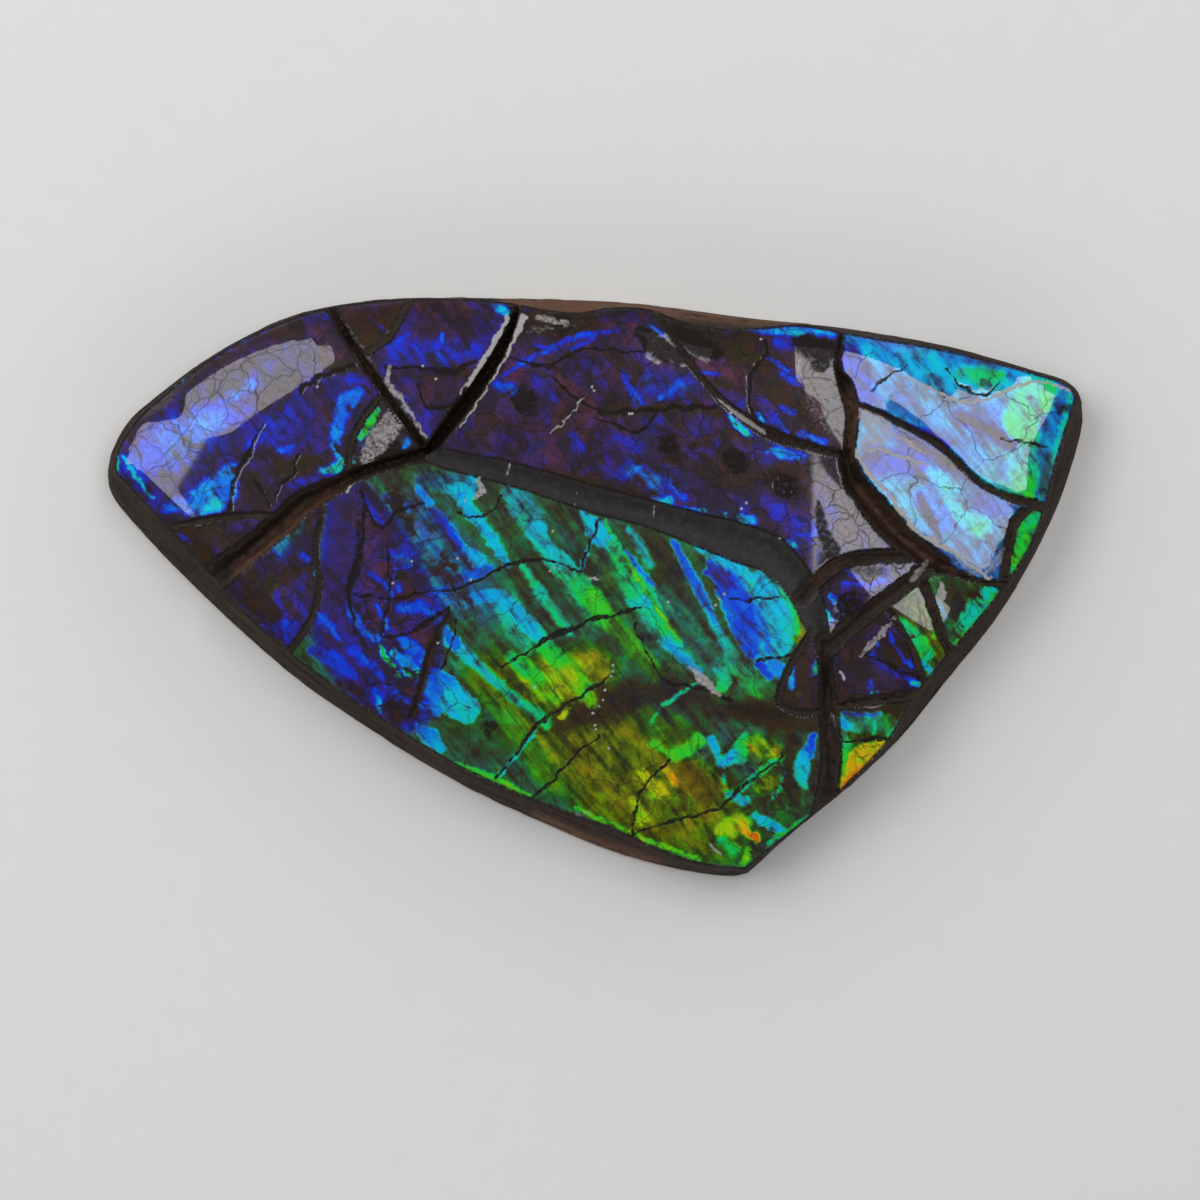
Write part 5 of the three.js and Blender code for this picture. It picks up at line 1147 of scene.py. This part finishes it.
def clay_cover(tree, broken, dirt, dapple, edges):
    """How much dark clay covers each point: in seams and hollows together, and in hollows alone."""
    seam, crazing, hairline = (
        add(tree, "ShaderNodeMapRange", [("Value", distance), ("From Max", reach), ("To Min", cover),
            ("To Max", 0.0)]).outputs["Result"]
        for distance, reach, cover in zip(edges, SEAM_REACH, SEAM_COVER))
    lines = add(tree, "ShaderNodeMath", [(0, seam), (1, crazing)], operation="MAXIMUM")
    in_flakes = add(tree, "ShaderNodeMath", [(0, lines.outputs[0]), (1, broken)], operation="MULTIPLY")
    in_seams = add(tree, "ShaderNodeMath", [(0, in_flakes.outputs[0]), (1, hairline)], operation="MAXIMUM")
    ragged = add(tree, "ShaderNodeMath", [(0, dapple), (1, 2.0), (2, dirt)], operation="MULTIPLY_ADD")
    hollow = add(tree, "ShaderNodeMapRange", [("Value", ragged.outputs[0]), ("From Min", 0.2),
                 ("From Max", 0.85)])
    clay = add(tree, "ShaderNodeMath", [(0, in_seams.outputs[0]), (1, hollow.outputs["Result"])],
               operation="MAXIMUM")
    return clay.outputs[0], hollow.outputs["Result"]


def calcite_and_highlight_cover(tree, chalk_and_highlight, dapple):
    """How much ragged white covers each point: calcite, and painted white highlights."""
    ragged = add(tree, "ShaderNodeMath", [(0, dapple), (1, 2.0), (2, chalk_and_highlight)], operation="MULTIPLY_ADD")
    white = add(tree, "ShaderNodeMapRange", [("Value", ragged.outputs[0]), ("From Min", 0.2),
                ("From Max", 0.8)], interpolation_type="SMOOTHSTEP")
    return white.outputs["Result"]


def polished_nacre(settings):
    """Polished ammonite nacre: thin aragonite tablets whose interference colours flash out of a dark
    purple-brown to olive body, shattered and healed with clay and calcite, with painted white highlights on
    some lips and crests, under a glassy polish."""
    material, tree = new_material("polished_nacre")
    hue, flash, body, broken, dirt, chalk_and_highlight = (
        add(tree, "ShaderNodeAttribute", attribute_name=name).outputs["Fac"] for name in CHANNELS)
    place = add(tree, "ShaderNodeTexCoord").outputs["Object"]
    bend = add(tree, "ShaderNodeTexNoise", [("Vector", place), ("Scale", 1 / (2.0 * MM)), ("Detail", 3.0)])
    bent = add(tree, "ShaderNodeVectorMath", [(0, bend.outputs["Color"]), (1, (2.2 * MM,) * 3), (2, place)],
               operation="MULTIPLY_ADD").outputs["Vector"]
    (own, small), edges = shattered(tree, bent)
    streak, dapple, uneven = unevenness(tree, place, bent, broken)
    colour = interference(tree, hue, broken, own, small, streak)
    shell = shell_colour(tree, flash, body, broken, own, small, colour, uneven, settings.iridescence)
    clay, hollow = clay_cover(tree, broken, dirt, dapple, edges)
    white = calcite_and_highlight_cover(tree, chalk_and_highlight, dapple)
    stained = add(tree, "ShaderNodeMix", [("Factor", clay), ("A", shell),
                  ("B", (*linear(CLAY_COLOUR), 1))], data_type="RGBA")
    # Calcite and painted white highlights laid over the shell.
    chalked = add(tree, "ShaderNodeMix", [("Factor", white), ("A", stained.outputs["Result"]),
                  ("B", (*settings.calcite_and_highlight_colour, 1))], data_type="RGBA")

    # The polish is lost where clay, calcite and painted white highlights stand, and hollows, calcite and
    # painted highlights lie a little lower.
    matt = add(tree, "ShaderNodeMath", [(0, clay), (1, white)], operation="MAXIMUM")
    gloss = add(tree, "ShaderNodeMapRange", [("Value", matt.outputs[0]), ("To Min", 1.0), ("To Max", 0.06)])
    rough = add(tree, "ShaderNodeMapRange", [("Value", matt.outputs[0]), ("To Min", 0.3), ("To Max", 0.6)])
    ground = add(tree, "ShaderNodeMath", [(0, hollow), (1, white)], operation="MAXIMUM")
    bump = add(tree, "ShaderNodeBump", [("Height", ground.outputs[0]), ("Distance", 0.03 * MM),
               ("Strength", 0.5)], invert=True)
    shader = add(tree, "ShaderNodeBsdfPrincipled", [
        ("Base Color", chalked.outputs["Result"]), ("Metallic", 0.1), ("Roughness", rough.outputs["Result"]),
        ("IOR", 1.6), ("Specular IOR Level", 0.1), ("Normal", bump.outputs["Normal"]),
        ("Coat Weight", gloss.outputs["Result"]), ("Coat Roughness", 0.03), ("Coat IOR", 1.6),
    ])
    add(tree, "ShaderNodeOutputMaterial", [("Surface", shader.outputs["BSDF"])])
    return material


def ironstone(settings):
    """Ironstone: bedded brown clay rock, dull where ground or broken, glossy grey where polished, with rusty
    patches, white calcite and a few painted white highlights."""
    material, tree = new_material("ironstone")
    place = add(tree, "ShaderNodeTexCoord").outputs["Object"]
    polish, rust, chalk_and_highlight = (
        add(tree, "ShaderNodeAttribute", attribute_name=name).outputs["Fac"]
        for name in ("polish", "rust", "chalk_and_highlight"))
    grain = add(tree, "ShaderNodeTexNoise", [("Vector", place), ("Scale", 1 / (0.7 * MM)), ("Detail", 6.0),
                ("Roughness", 0.65)])
    layers = add(tree, "ShaderNodeMapping", [("Vector", place), ("Scale", (6, 6, 0.5))],
                 vector_type="TEXTURE")
    beds = add(tree, "ShaderNodeTexNoise", [("Vector", layers.outputs["Vector"]), ("Scale", 1 / (1.0 * MM)),
               ("Detail", 4.0)])
    both = add(tree, "ShaderNodeMath", [(0, grain.outputs["Fac"]), (1, beds.outputs["Fac"])])
    shade = add(tree, "ShaderNodeMapRange", [("Value", both.outputs[0]), ("From Min", 0.7), ("From Max", 1.3),
                ("To Min", 0.25), ("To Max", 2.2)])
    brown = add(tree, "ShaderNodeVectorMath", [(0, tuple(settings.ironstone_colour)),
                ("Scale", shade.outputs["Result"])], operation="SCALE")
    patchy = add(tree, "ShaderNodeMath", [(0, rust), (1, shade.outputs["Result"])], operation="MULTIPLY")
    rusty = add(tree, "ShaderNodeMix", [("Factor", patchy.outputs[0]), ("A", brown.outputs["Vector"]),
                ("B", (*linear(RUST_COLOUR), 1))], data_type="RGBA")
    grey = add(tree, "ShaderNodeValToRGB", [("Fac", grain.outputs["Fac"])], GREY_STOPS)
    mixed = add(tree, "ShaderNodeMix", [("Factor", polish), ("A", rusty.outputs["Result"]),
                ("B", grey.outputs["Color"])], data_type="RGBA")
    # Calcite, and a few painted white highlights, laid over the rock.
    ragged = add(tree, "ShaderNodeMath", [(0, grain.outputs["Fac"]), (1, 1.2), (2, chalk_and_highlight)],
                 operation="MULTIPLY_ADD")
    white = add(tree, "ShaderNodeMapRange", [("Value", ragged.outputs[0]), ("From Min", 0.9),
                ("From Max", 1.3)])
    chalked = add(tree, "ShaderNodeMix", [("Factor", white.outputs["Result"]), ("A", mixed.outputs["Result"]),
                  ("B", (*settings.calcite_and_highlight_colour, 1))], data_type="RGBA")
    rough = add(tree, "ShaderNodeMapRange", [("Value", polish), ("To Min", 0.65), ("To Max", 0.38)])
    relief = add(tree, "ShaderNodeMapRange", [("Value", polish), ("To Min", 0.6), ("To Max", 0.05)])
    bump = add(tree, "ShaderNodeBump", [("Height", both.outputs[0]), ("Distance", 0.12 * MM),
               ("Strength", relief.outputs["Result"])])
    shader = add(tree, "ShaderNodeBsdfPrincipled", [
        ("Base Color", chalked.outputs["Result"]), ("Roughness", rough.outputs["Result"]),
        ("Specular IOR Level", 0.25), ("Normal", bump.outputs["Normal"]),
    ])
    add(tree, "ShaderNodeOutputMaterial", [("Surface", shader.outputs["BSDF"])])
    return material


def pale_board(settings):
    """Pale matt board: an even, faintly mottled paper face that only carries the soft shadow."""
    material, tree = new_material("pale_board")
    place = add(tree, "ShaderNodeTexCoord").outputs["Object"]
    fibre = add(tree, "ShaderNodeTexNoise", [("Vector", place), ("Scale", 1 / (3.0 * MM)), ("Detail", 3.0)])
    shade = add(tree, "ShaderNodeMapRange", [("Value", fibre.outputs["Fac"]), ("To Min", 0.985),
                ("To Max", 1.015)])
    paper = add(tree, "ShaderNodeVectorMath", [(0, tuple(settings.floor_colour)),
                ("Scale", shade.outputs["Result"])], operation="SCALE")
    rough = add(tree, "ShaderNodeMapRange", [("Value", fibre.outputs["Fac"]), ("To Min", 0.75),
                ("To Max", 0.9)])
    shader = add(tree, "ShaderNodeBsdfPrincipled", [
        ("Base Color", paper.outputs["Vector"]), ("Roughness", rough.outputs["Result"]),
    ])
    add(tree, "ShaderNodeOutputMaterial", [("Surface", shader.outputs["BSDF"])])
    return material


# The rock

def crack_field(x, y):
    """Distance to the nearest crack's edge, negative inside it, with the fill's depth and greyness there."""
    gap = np.full(len(x), FAR)
    drop = np.zeros(len(x))
    grey = np.zeros(len(x))
    uneven = wobble(x, y)
    for crack in CRACKS.values():
        distance, carried = near_course(x, y, crack_line(crack), 4)
        own = distance - carried[:, 0] / 2 - crack["rough"] * uneven
        inside = own < 0.2
        middle = step_up(-own / np.maximum(carried[:, 0] / 2, 0.2), 0.0, 0.9)
        own_drop = crack["edge"] + (crack["depth"] - crack["edge"]) * middle
        own_drop *= np.clip(carried[:, 0] / 1.0, 0.35, 1)
        deeper = inside & ((own < gap) | (own_drop > drop))
        drop[deeper] = own_drop[deeper]
        grey[deeper] = crack["grey"]
        gap = np.minimum(gap, own)
    return gap, drop, grey


def rock_side():
    """The ground side of the slab as rings: sawn back, bevel, bedded rim, then straight up past the face."""
    rim = closed_outline(RIM_SIDES, LINE_STEP)
    face = closed_outline(FACE_SIDES, LINE_STEP)
    count = len(rim)

    def place(u, v):
        at = np.round(u * count).astype(int) % count
        level = np.round(v * RIM_LEVELS).astype(int)
        z = SAW_BEVEL + (level - 1) / (RIM_LEVELS - 2) * RING_HEIGHT
        z = np.where(level < 2, level * SAW_BEVEL, z)
        z = np.where(level == RIM_LEVELS, LAST_RING, z)
        share = step_up(z, 0.8, RIM_TOP) ** 0.8
        around = np.cumsum(np.hypot(*(rim - np.roll(rim, 1, 0)).T))[at]
        beds = 0.2 * noise(z * 3.1, around * 0.08, 1.0, 21) + 0.12 * layered(around, z * 2.5, 1.6, 22)
        fading = step_up(z, 0.3, 1.2) * (1 - step_up(z, RIM_TOP - 0.4, RIM_TOP + 0.8))
        inward = np.where(level == 0, SAW_BEVEL, 0.12) - beds * fading
        x = rim[at, 0] * (1 - share) + face[at, 0] * share
        y = rim[at, 1] * (1 - share) + face[at, 1] * share
        scale = 1 - np.maximum(inward, 0) / np.hypot(x, y) * (1 - step_up(z, RIM_TOP, RIM_TOP + 0.5))
        return x * scale, y * scale, z

    piece = grid_piece("ironstone_rock", count, RIM_LEVELS, place)
    edit(piece, "EDGE")
    bpy.ops.mesh.select_all(action="SELECT")
    bpy.ops.mesh.remove_doubles(threshold=0.01 * MM)
    bpy.ops.mesh.select_all(action="DESELECT")
    bpy.ops.mesh.select_non_manifold()
    bpy.ops.mesh.fill_holes(sides=0)
    face_outwards()
    return piece


def rock_top():
    """The rock's upper surface as a block: the bed under the shell and the fill that stands in the cracks."""
    length, width = ROCK_BLANK
    columns, rows = round(length / ROCK_GRID), round(width / ROCK_GRID)

    def place(u, v):
        x, y = (u - 0.5) * length, (v - 0.5) * width
        gap, drop, grey = crack_field(x, y)
        face = face_height(x, y) + waves(x, y) * 0.5
        rough = (1 - grey) * (0.24 * layered(x, y, 1.1, 31) + 0.12 * noise(x, y, 0.45, 33))
        fill = face - drop + rough * step_up(drop, 0.02, 0.5)
        bed = face_height(x, y) - SHELL - BED_GAP
        return x, y, np.where(gap < 0.3, fill, bed)

    piece = grid_piece("rock_top", columns, rows, place)
    close_below(piece, 2 * CROWN)
    return piece


def build_rock(settings):
    """The whole rock, with how polished, rusty and chalky each point is, the chalk including a few painted
    highlights.
    """
    rock = rock_top()
    boolean(rock, rock_side(), "INTERSECT")
    rock.name = "ironstone_rock"
    at = coordinates(rock)
    x, y = at[:, 0], at[:, 1]
    _, _, grey = crack_field(x, y)
    channels = {"polish": grey * step_up(at[:, 2] - face_height(x, y), -0.6, -0.2),
                "rust": np.zeros(len(x)), "chalk_and_highlight": np.zeros(len(x))}
    for mark in MARKS["ironstone_rock"]:
        lay_mark(channels, x, y, mark)
    for name, values in channels.items():
        write_attribute(rock, name, values)
    finish_piece(rock, ironstone(settings), "ironstone", "ironstone_matrix")


# The shell

def shell_blank():
    """The flat shell layer, its polished side at height 0, cut to the face and parted by the cracks."""
    length, width = SHELL_BLANK
    columns, rows = round(length / GRID), round(width / GRID)
    sheet = grid_piece("shell", columns, rows, lambda u, v: (
        (u - 0.5) * length, (v - 0.5) * width, np.zeros(len(u))))
    close_below(sheet, SHELL)
    face = prism("face", closed_outline(FACE_SIDES, LINE_STEP), -CUT_REACH, CUT_REACH)
    boolean(sheet, face, "INTERSECT")
    boolean(sheet, crack_tools(), "DIFFERENCE")
    return sheet


def loose_plates(sheet):
    """Parts the shell into its plates and names each by the solid it stands for."""
    edit(sheet)
    bpy.ops.mesh.select_all(action="SELECT")
    bpy.ops.mesh.separate(type="LOOSE")
    bpy.ops.object.mode_set(mode="OBJECT")
    pieces = list(bpy.context.selected_objects)
    places = {p: coordinates(p) for p in pieces}
    plates = {}
    for name, plate in PLATES.items():
        x, y = plate["at"]
        nearest = min(pieces, key=lambda p: np.hypot(places[p][:, 0] - x, places[p][:, 1] - y).min())
        plates[name] = nearest
        nearest.name = name.replace("shell_", "plate_")
    for piece in pieces:
        if piece not in plates.values():
            bpy.data.objects.remove(piece)
    if len(set(plates.values())) < len(PLATES):
        raise RuntimeError("two plates are one piece: a crack between them doesn't part the shell")
    return plates


def lip_distance(piece, at, top):
    """Distance of each upper vertex from the plate's broken edge."""
    edges = np.empty(len(piece.data.edges) * 2, np.int32)
    piece.data.edges.foreach_get("vertices", edges)
    edges = edges.reshape(-1, 2)
    rim = np.unique(np.where(top[edges[:, 0]] & ~top[edges[:, 1]], edges[:, 0], edges[:, 1])[
        top[edges[:, 0]] != top[edges[:, 1]]])
    tree = kdtree.KDTree(len(rim))
    for k in rim:
        tree.insert((at[k, 0], at[k, 1], 0), int(k))
    tree.balance()
    distance = np.zeros(len(at))
    for k in np.flatnonzero(top):
        distance[k] = tree.find((at[k, 0], at[k, 1], 0))[2]
    return distance


def damage(x, y):
    """How far down a scar or a pit reaches at each point, as a share of its full depth."""
    hurt = np.zeros(len(x))
    px = x + 0.3 * noise(x, y, 1.2, 43) + 0.12 * noise(x, y, 0.45, 44)
    py = y + 0.3 * noise(x, y, 1.2, 45) + 0.12 * noise(x, y, 0.45, 46)
    for course in SCARS:
        distance, carried = near_course(px, py, smooth(course, LINE_STEP), 1.0)
        half = carried[:, 0] / 2 + 0.02
        hurt = np.maximum(hurt, 1 - step_up(distance, 0.4 * half, 1.6 * half))
    for pit_x, pit_y, radius in PITS:
        away = np.hypot(px - pit_x, py - pit_y) / radius
        pitted = (1 - step_up(away, 0.5, 1.1)) * (0.55 + 0.6 * noise(x, y, 0.5, 47))
        hurt = np.maximum(hurt, pitted)
    return np.clip(hurt, 0, 1)


def shape_plate(piece, plate, settings):
    """Lays a flat plate over the dome, with its lift, slope, worn lip, scars and pits."""
    at = coordinates(piece)
    x, y = at[:, 0], at[:, 1]
    top = at[:, 2] > -0.01
    distance = lip_distance(piece, at, top)
    hurt = damage(x, y) * top
    base = face_height(x, y)
    level = base + waves(x, y) + plate["lift"] - settings.scar_depth / MM * hurt
    level += plate["slope"][0] * (x - plate["at"][0]) + plate["slope"][1] * (y - plate["at"][1])
    away, band = near_course(x, y, crack_line(CRACKS["grey_band"]), 4)
    # The shell meets the grey band nearly flush.
    worn = 0.25 + 0.75 * step_up(away - band[:, 0] / 2, 0.4, 1.2)
    radius = settings.lip_radius / MM * (1 + 0.4 * noise(x, y, 2.5, 41)) * worn
    inside = np.clip(1 - distance / radius, 0, 1)
    lip = 0.7 * radius * (1 - np.sqrt(1 - inside**2 * 0.98))
    z = np.where(top, level - lip, base - SHELL)
    move_to(piece, np.column_stack([x, y, z]))
    return top, distance, hurt


def lay_mark(channels, x, y, mark):
    """Lays one mark over the channels: full strength within its width, fading over its soft edges."""
    left, right = mark["soft"] if isinstance(mark["soft"], tuple) else (mark["soft"], mark["soft"])
    line = smooth(mark["course"], LINE_STEP)
    distance, carried = near_course(x, y, line, line[:, 2].max() / 2 + max(left, right) + 0.1)
    width, run, side = carried.T
    soft = 0.7 * np.where(side > 0, left, right) + 0.06
    strength = 1 - step_up(distance - width / 2, -soft, soft)
    for name in channels:
        if name in mark:
            target = mark[name][0] + (mark[name][1] - mark[name][0]) * run
            if name in ("dirt", "chalk_and_highlight", "rust"):
                channels[name] = np.maximum(channels[name], target * strength)
            else:
                channels[name] += (target - channels[name]) * strength


def paint_plate(piece, name, top, distance, hurt):
    """Writes what the nacre material reads: the plate's ground, its marks, some of them painted white
    highlights, the specks with their painted glints, and clay in its scars.
    """
    at = coordinates(piece)
    x, y = at[:, 0], at[:, 1]
    hue, bright, body, broken, spread = GROUNDS[name]
    channels = {
        "hue": hue + spread * layered(x, y, 4.0, 51),
        "flash": bright * (1 + 0.5 * layered(x, y, 3.0, 54)),
        "body": body + 0.3 * layered(x, y, 3.0, 57),
        "broken": np.full(len(x), broken),
        "dirt": 0.85 * np.maximum(np.minimum(1, 3 * hurt), 1 - step_up(distance, 0.2, 0.42)),
        "chalk_and_highlight": np.zeros(len(x)),
    }
    px = x + 0.22 * noise(x, y, 0.9, 61) + 0.12 * noise(x, y, 0.4, 62)
    py = y + 0.22 * noise(x, y, 0.9, 63) + 0.12 * noise(x, y, 0.4, 64)
    for mark in MARKS[name]:
        lay_mark(channels, px, py, mark)
    # Painted highlights: each speck is a white dot for a tiny chip and the glint it catches.
    for speck_x, speck_y in CHIP_SPECKS_AND_GLINTS:
        away = np.hypot(x - speck_x, y - speck_y)
        channels["chalk_and_highlight"] = np.maximum(channels["chalk_and_highlight"], 1 - step_up(away, 0.06, 0.22))
    channels["hue"] += 0.025 * layered(x, y, 1.5, 65)
    channels["flash"] *= 1 + 0.2 * layered(x, y, 1.8, 68)
    channels["dirt"] = np.where(top, channels["dirt"], 1.0)
    for key, values in channels.items():
        write_attribute(piece, key, np.clip(values, 0, 1))


def build_shell(settings):
    """Every plate of the shell."""
    nacre = polished_nacre(settings)
    for name, piece in loose_plates(shell_blank()).items():
        top, distance, hurt = shape_plate(piece, PLATES[name], settings)
        paint_plate(piece, name, top, distance, hurt)
        finish_piece(piece, nacre, "ammolite", name)


# The stage

# The soft boxes hang level over the specimen, where the polish of the left lobe and of the right-hand plates
# mirrors them as pale veils: centre, size and turn in mm and degrees, and how bright they look.
BOX_HEIGHT = 600.0
LEFT_BOX = dict(at=(-378.0, 245.0), size=(456.0, 640.0), turn=10.0, bright=3.2, shape="ELLIPSE")
RIGHT_BOX = dict(at=(166.0, 250.0), size=(168.0, 580.0), turn=0.0, bright=4.0, shape="RECTANGLE")
# The room is bright all round up to about a third of the way to the zenith, and dark above.
ROOM_BRIGHT = 1.25
ROOM_DARK = 0.05
ROOM_FADE = (0.5, 0.62)  # where it fades from one to the other, as the sine of the height over the horizon


def soft_box(name, at, size, turn, bright, shape):
    """A level soft box that shines straight down."""
    data = bpy.data.lights.new(name, "AREA")
    data.shape = shape
    data.size, data.size_y = size[0] * MM, size[1] * MM
    data.energy = bright * math.pi * data.size * data.size_y * (math.pi / 4 if shape == "ELLIPSE" else 1)
    light = bpy.data.objects.new(name, data)
    bpy.context.scene.collection.objects.link(light)
    light.location = (at[0] * MM, at[1] * MM, BOX_HEIGHT * MM)
    light.rotation_euler = (0, 0, math.radians(turn))


def build_room():
    """The surroundings: a bright ring round the horizon under a dark zenith."""
    world = bpy.data.worlds.new("room")
    world.use_nodes = True
    tree = world.node_tree
    tree.nodes.clear()
    way = add(tree, "ShaderNodeTexCoord").outputs["Generated"]
    parts = add(tree, "ShaderNodeSeparateXYZ", [("Vector", way)])
    glow = add(tree, "ShaderNodeMapRange", [("Value", parts.outputs["Z"]), ("From Min", ROOM_FADE[0]),
               ("From Max", ROOM_FADE[1]), ("To Min", ROOM_BRIGHT), ("To Max", ROOM_DARK)],
               interpolation_type="SMOOTHSTEP")
    room = add(tree, "ShaderNodeBackground", [("Strength", glow.outputs["Result"])])
    add(tree, "ShaderNodeOutputWorld", [("Surface", room.outputs["Background"])])
    bpy.context.scene.world = world


# The camera looks straight down on the face, and the floor is a square board.
CAMERA_AT = (0.5, -1.3)
CAMERA_HEIGHT = 710.0
FLOOR_SIZE = 3000.0
FIELD = 120.0
FACE_LEVEL = 8.5
SENSOR = 36.0


def build_camera():
    """Looks straight down on the face through a long lens."""
    data = bpy.data.cameras.new("camera")
    data.sensor_width = SENSOR
    data.lens = SENSOR * (CAMERA_HEIGHT - FACE_LEVEL) / FIELD
    data.clip_start = 0.01
    data.clip_end = 10
    camera = bpy.data.objects.new("camera", data)
    bpy.context.scene.collection.objects.link(camera)
    camera.location = (CAMERA_AT[0] * MM, CAMERA_AT[1] * MM, CAMERA_HEIGHT * MM)
    bpy.context.scene.camera = camera


def build_stage(settings):
    """Pale floor, room, soft boxes and camera."""
    bpy.ops.object.select_all(action="DESELECT")
    bpy.ops.mesh.primitive_plane_add(size=FLOOR_SIZE * MM)
    floor = bpy.context.active_object
    floor.name = "floor"
    floor.data.materials.append(pale_board(settings))
    build_room()
    soft_box("left_box", **LEFT_BOX)
    soft_box("right_box", **RIGHT_BOX)
    build_camera()


# The add-on

class SpecimenSettings(bpy.types.PropertyGroup):
    """The sizes and colours that a user may change before building."""
    lip_radius: bpy.props.FloatProperty(
        name="Lip radius", description="How far the broken edges of the plates are worn round",
        default=0.22 * MM, min=0.05 * MM, unit="LENGTH")
    scar_depth: bpy.props.FloatProperty(
        name="Scar depth", description="How deep the cracks and pits within a plate are",
        default=0.012 * MM, min=0.0, unit="LENGTH")
    iridescence: bpy.props.FloatProperty(
        name="Iridescence", description="How strongly the interference colours cover the body of the shell",
        default=1.0, min=0.0, max=1.0, subtype="FACTOR")
    ironstone_colour: bpy.props.FloatVectorProperty(
        name="Ironstone colour", description="The middle brown of the rock",
        default=linear(0x261B13), min=0.0, max=1.0, size=3, subtype="COLOR")
    # Also the white of the painted highlights on lips, crests and specks.
    calcite_and_highlight_colour: bpy.props.FloatVectorProperty(
        name="Calcite colour", description="The white of the calcite in the breaks",
        default=linear(0xA9A6A6), min=0.0, max=1.0, size=3, subtype="COLOR")
    floor_colour: bpy.props.FloatVectorProperty(
        name="Floor colour", description="The pale board below the specimen",
        default=linear(0xECEBE9), min=0.0, max=1.0, size=3, subtype="COLOR")


class AMMOLITE_OT_rock(bpy.types.Operator):
    """Builds the ironstone with its ground rim and crack fill"""
    bl_idname = "ammolite.rock"
    bl_label = "Ironstone"

    def execute(self, context):
        build_rock(context.scene.ammolite)
        return {"FINISHED"}


class AMMOLITE_OT_shell(bpy.types.Operator):
    """Builds the iridescent shell plates"""
    bl_idname = "ammolite.shell"
    bl_label = "Shell plates"

    def execute(self, context):
        build_shell(context.scene.ammolite)
        return {"FINISHED"}


class AMMOLITE_OT_stage(bpy.types.Operator):
    """Builds the floor, the lights and the camera"""
    bl_idname = "ammolite.stage"
    bl_label = "Stage"

    def execute(self, context):
        build_stage(context.scene.ammolite)
        return {"FINISHED"}


class AMMOLITE_PT_panel(bpy.types.Panel):
    """The specimen's sizes and colours, and the operators that build it"""
    bl_label = "Ammolite specimen"
    bl_space_type = "VIEW_3D"
    bl_region_type = "UI"
    bl_category = "Ammolite"

    def draw(self, context):
        for name in SpecimenSettings.__annotations__:
            self.layout.prop(context.scene.ammolite, name)
        for operator in (AMMOLITE_OT_rock, AMMOLITE_OT_shell, AMMOLITE_OT_stage):
            self.layout.operator(operator.bl_idname)


CLASSES = (SpecimenSettings, AMMOLITE_OT_rock, AMMOLITE_OT_shell, AMMOLITE_OT_stage, AMMOLITE_PT_panel)


def register():
    for cls in CLASSES:
        bpy.utils.register_class(cls)
    bpy.types.Scene.ammolite = bpy.props.PointerProperty(type=SpecimenSettings)


def unregister():
    del bpy.types.Scene.ammolite
    for cls in reversed(CLASSES):
        bpy.utils.unregister_class(cls)


def main():
    register()
    bpy.context.scene.view_settings.view_transform = "Standard"
    bpy.ops.ammolite.rock()
    bpy.ops.ammolite.shell()
    bpy.ops.ammolite.stage()


if __name__ == "__main__":
    main()
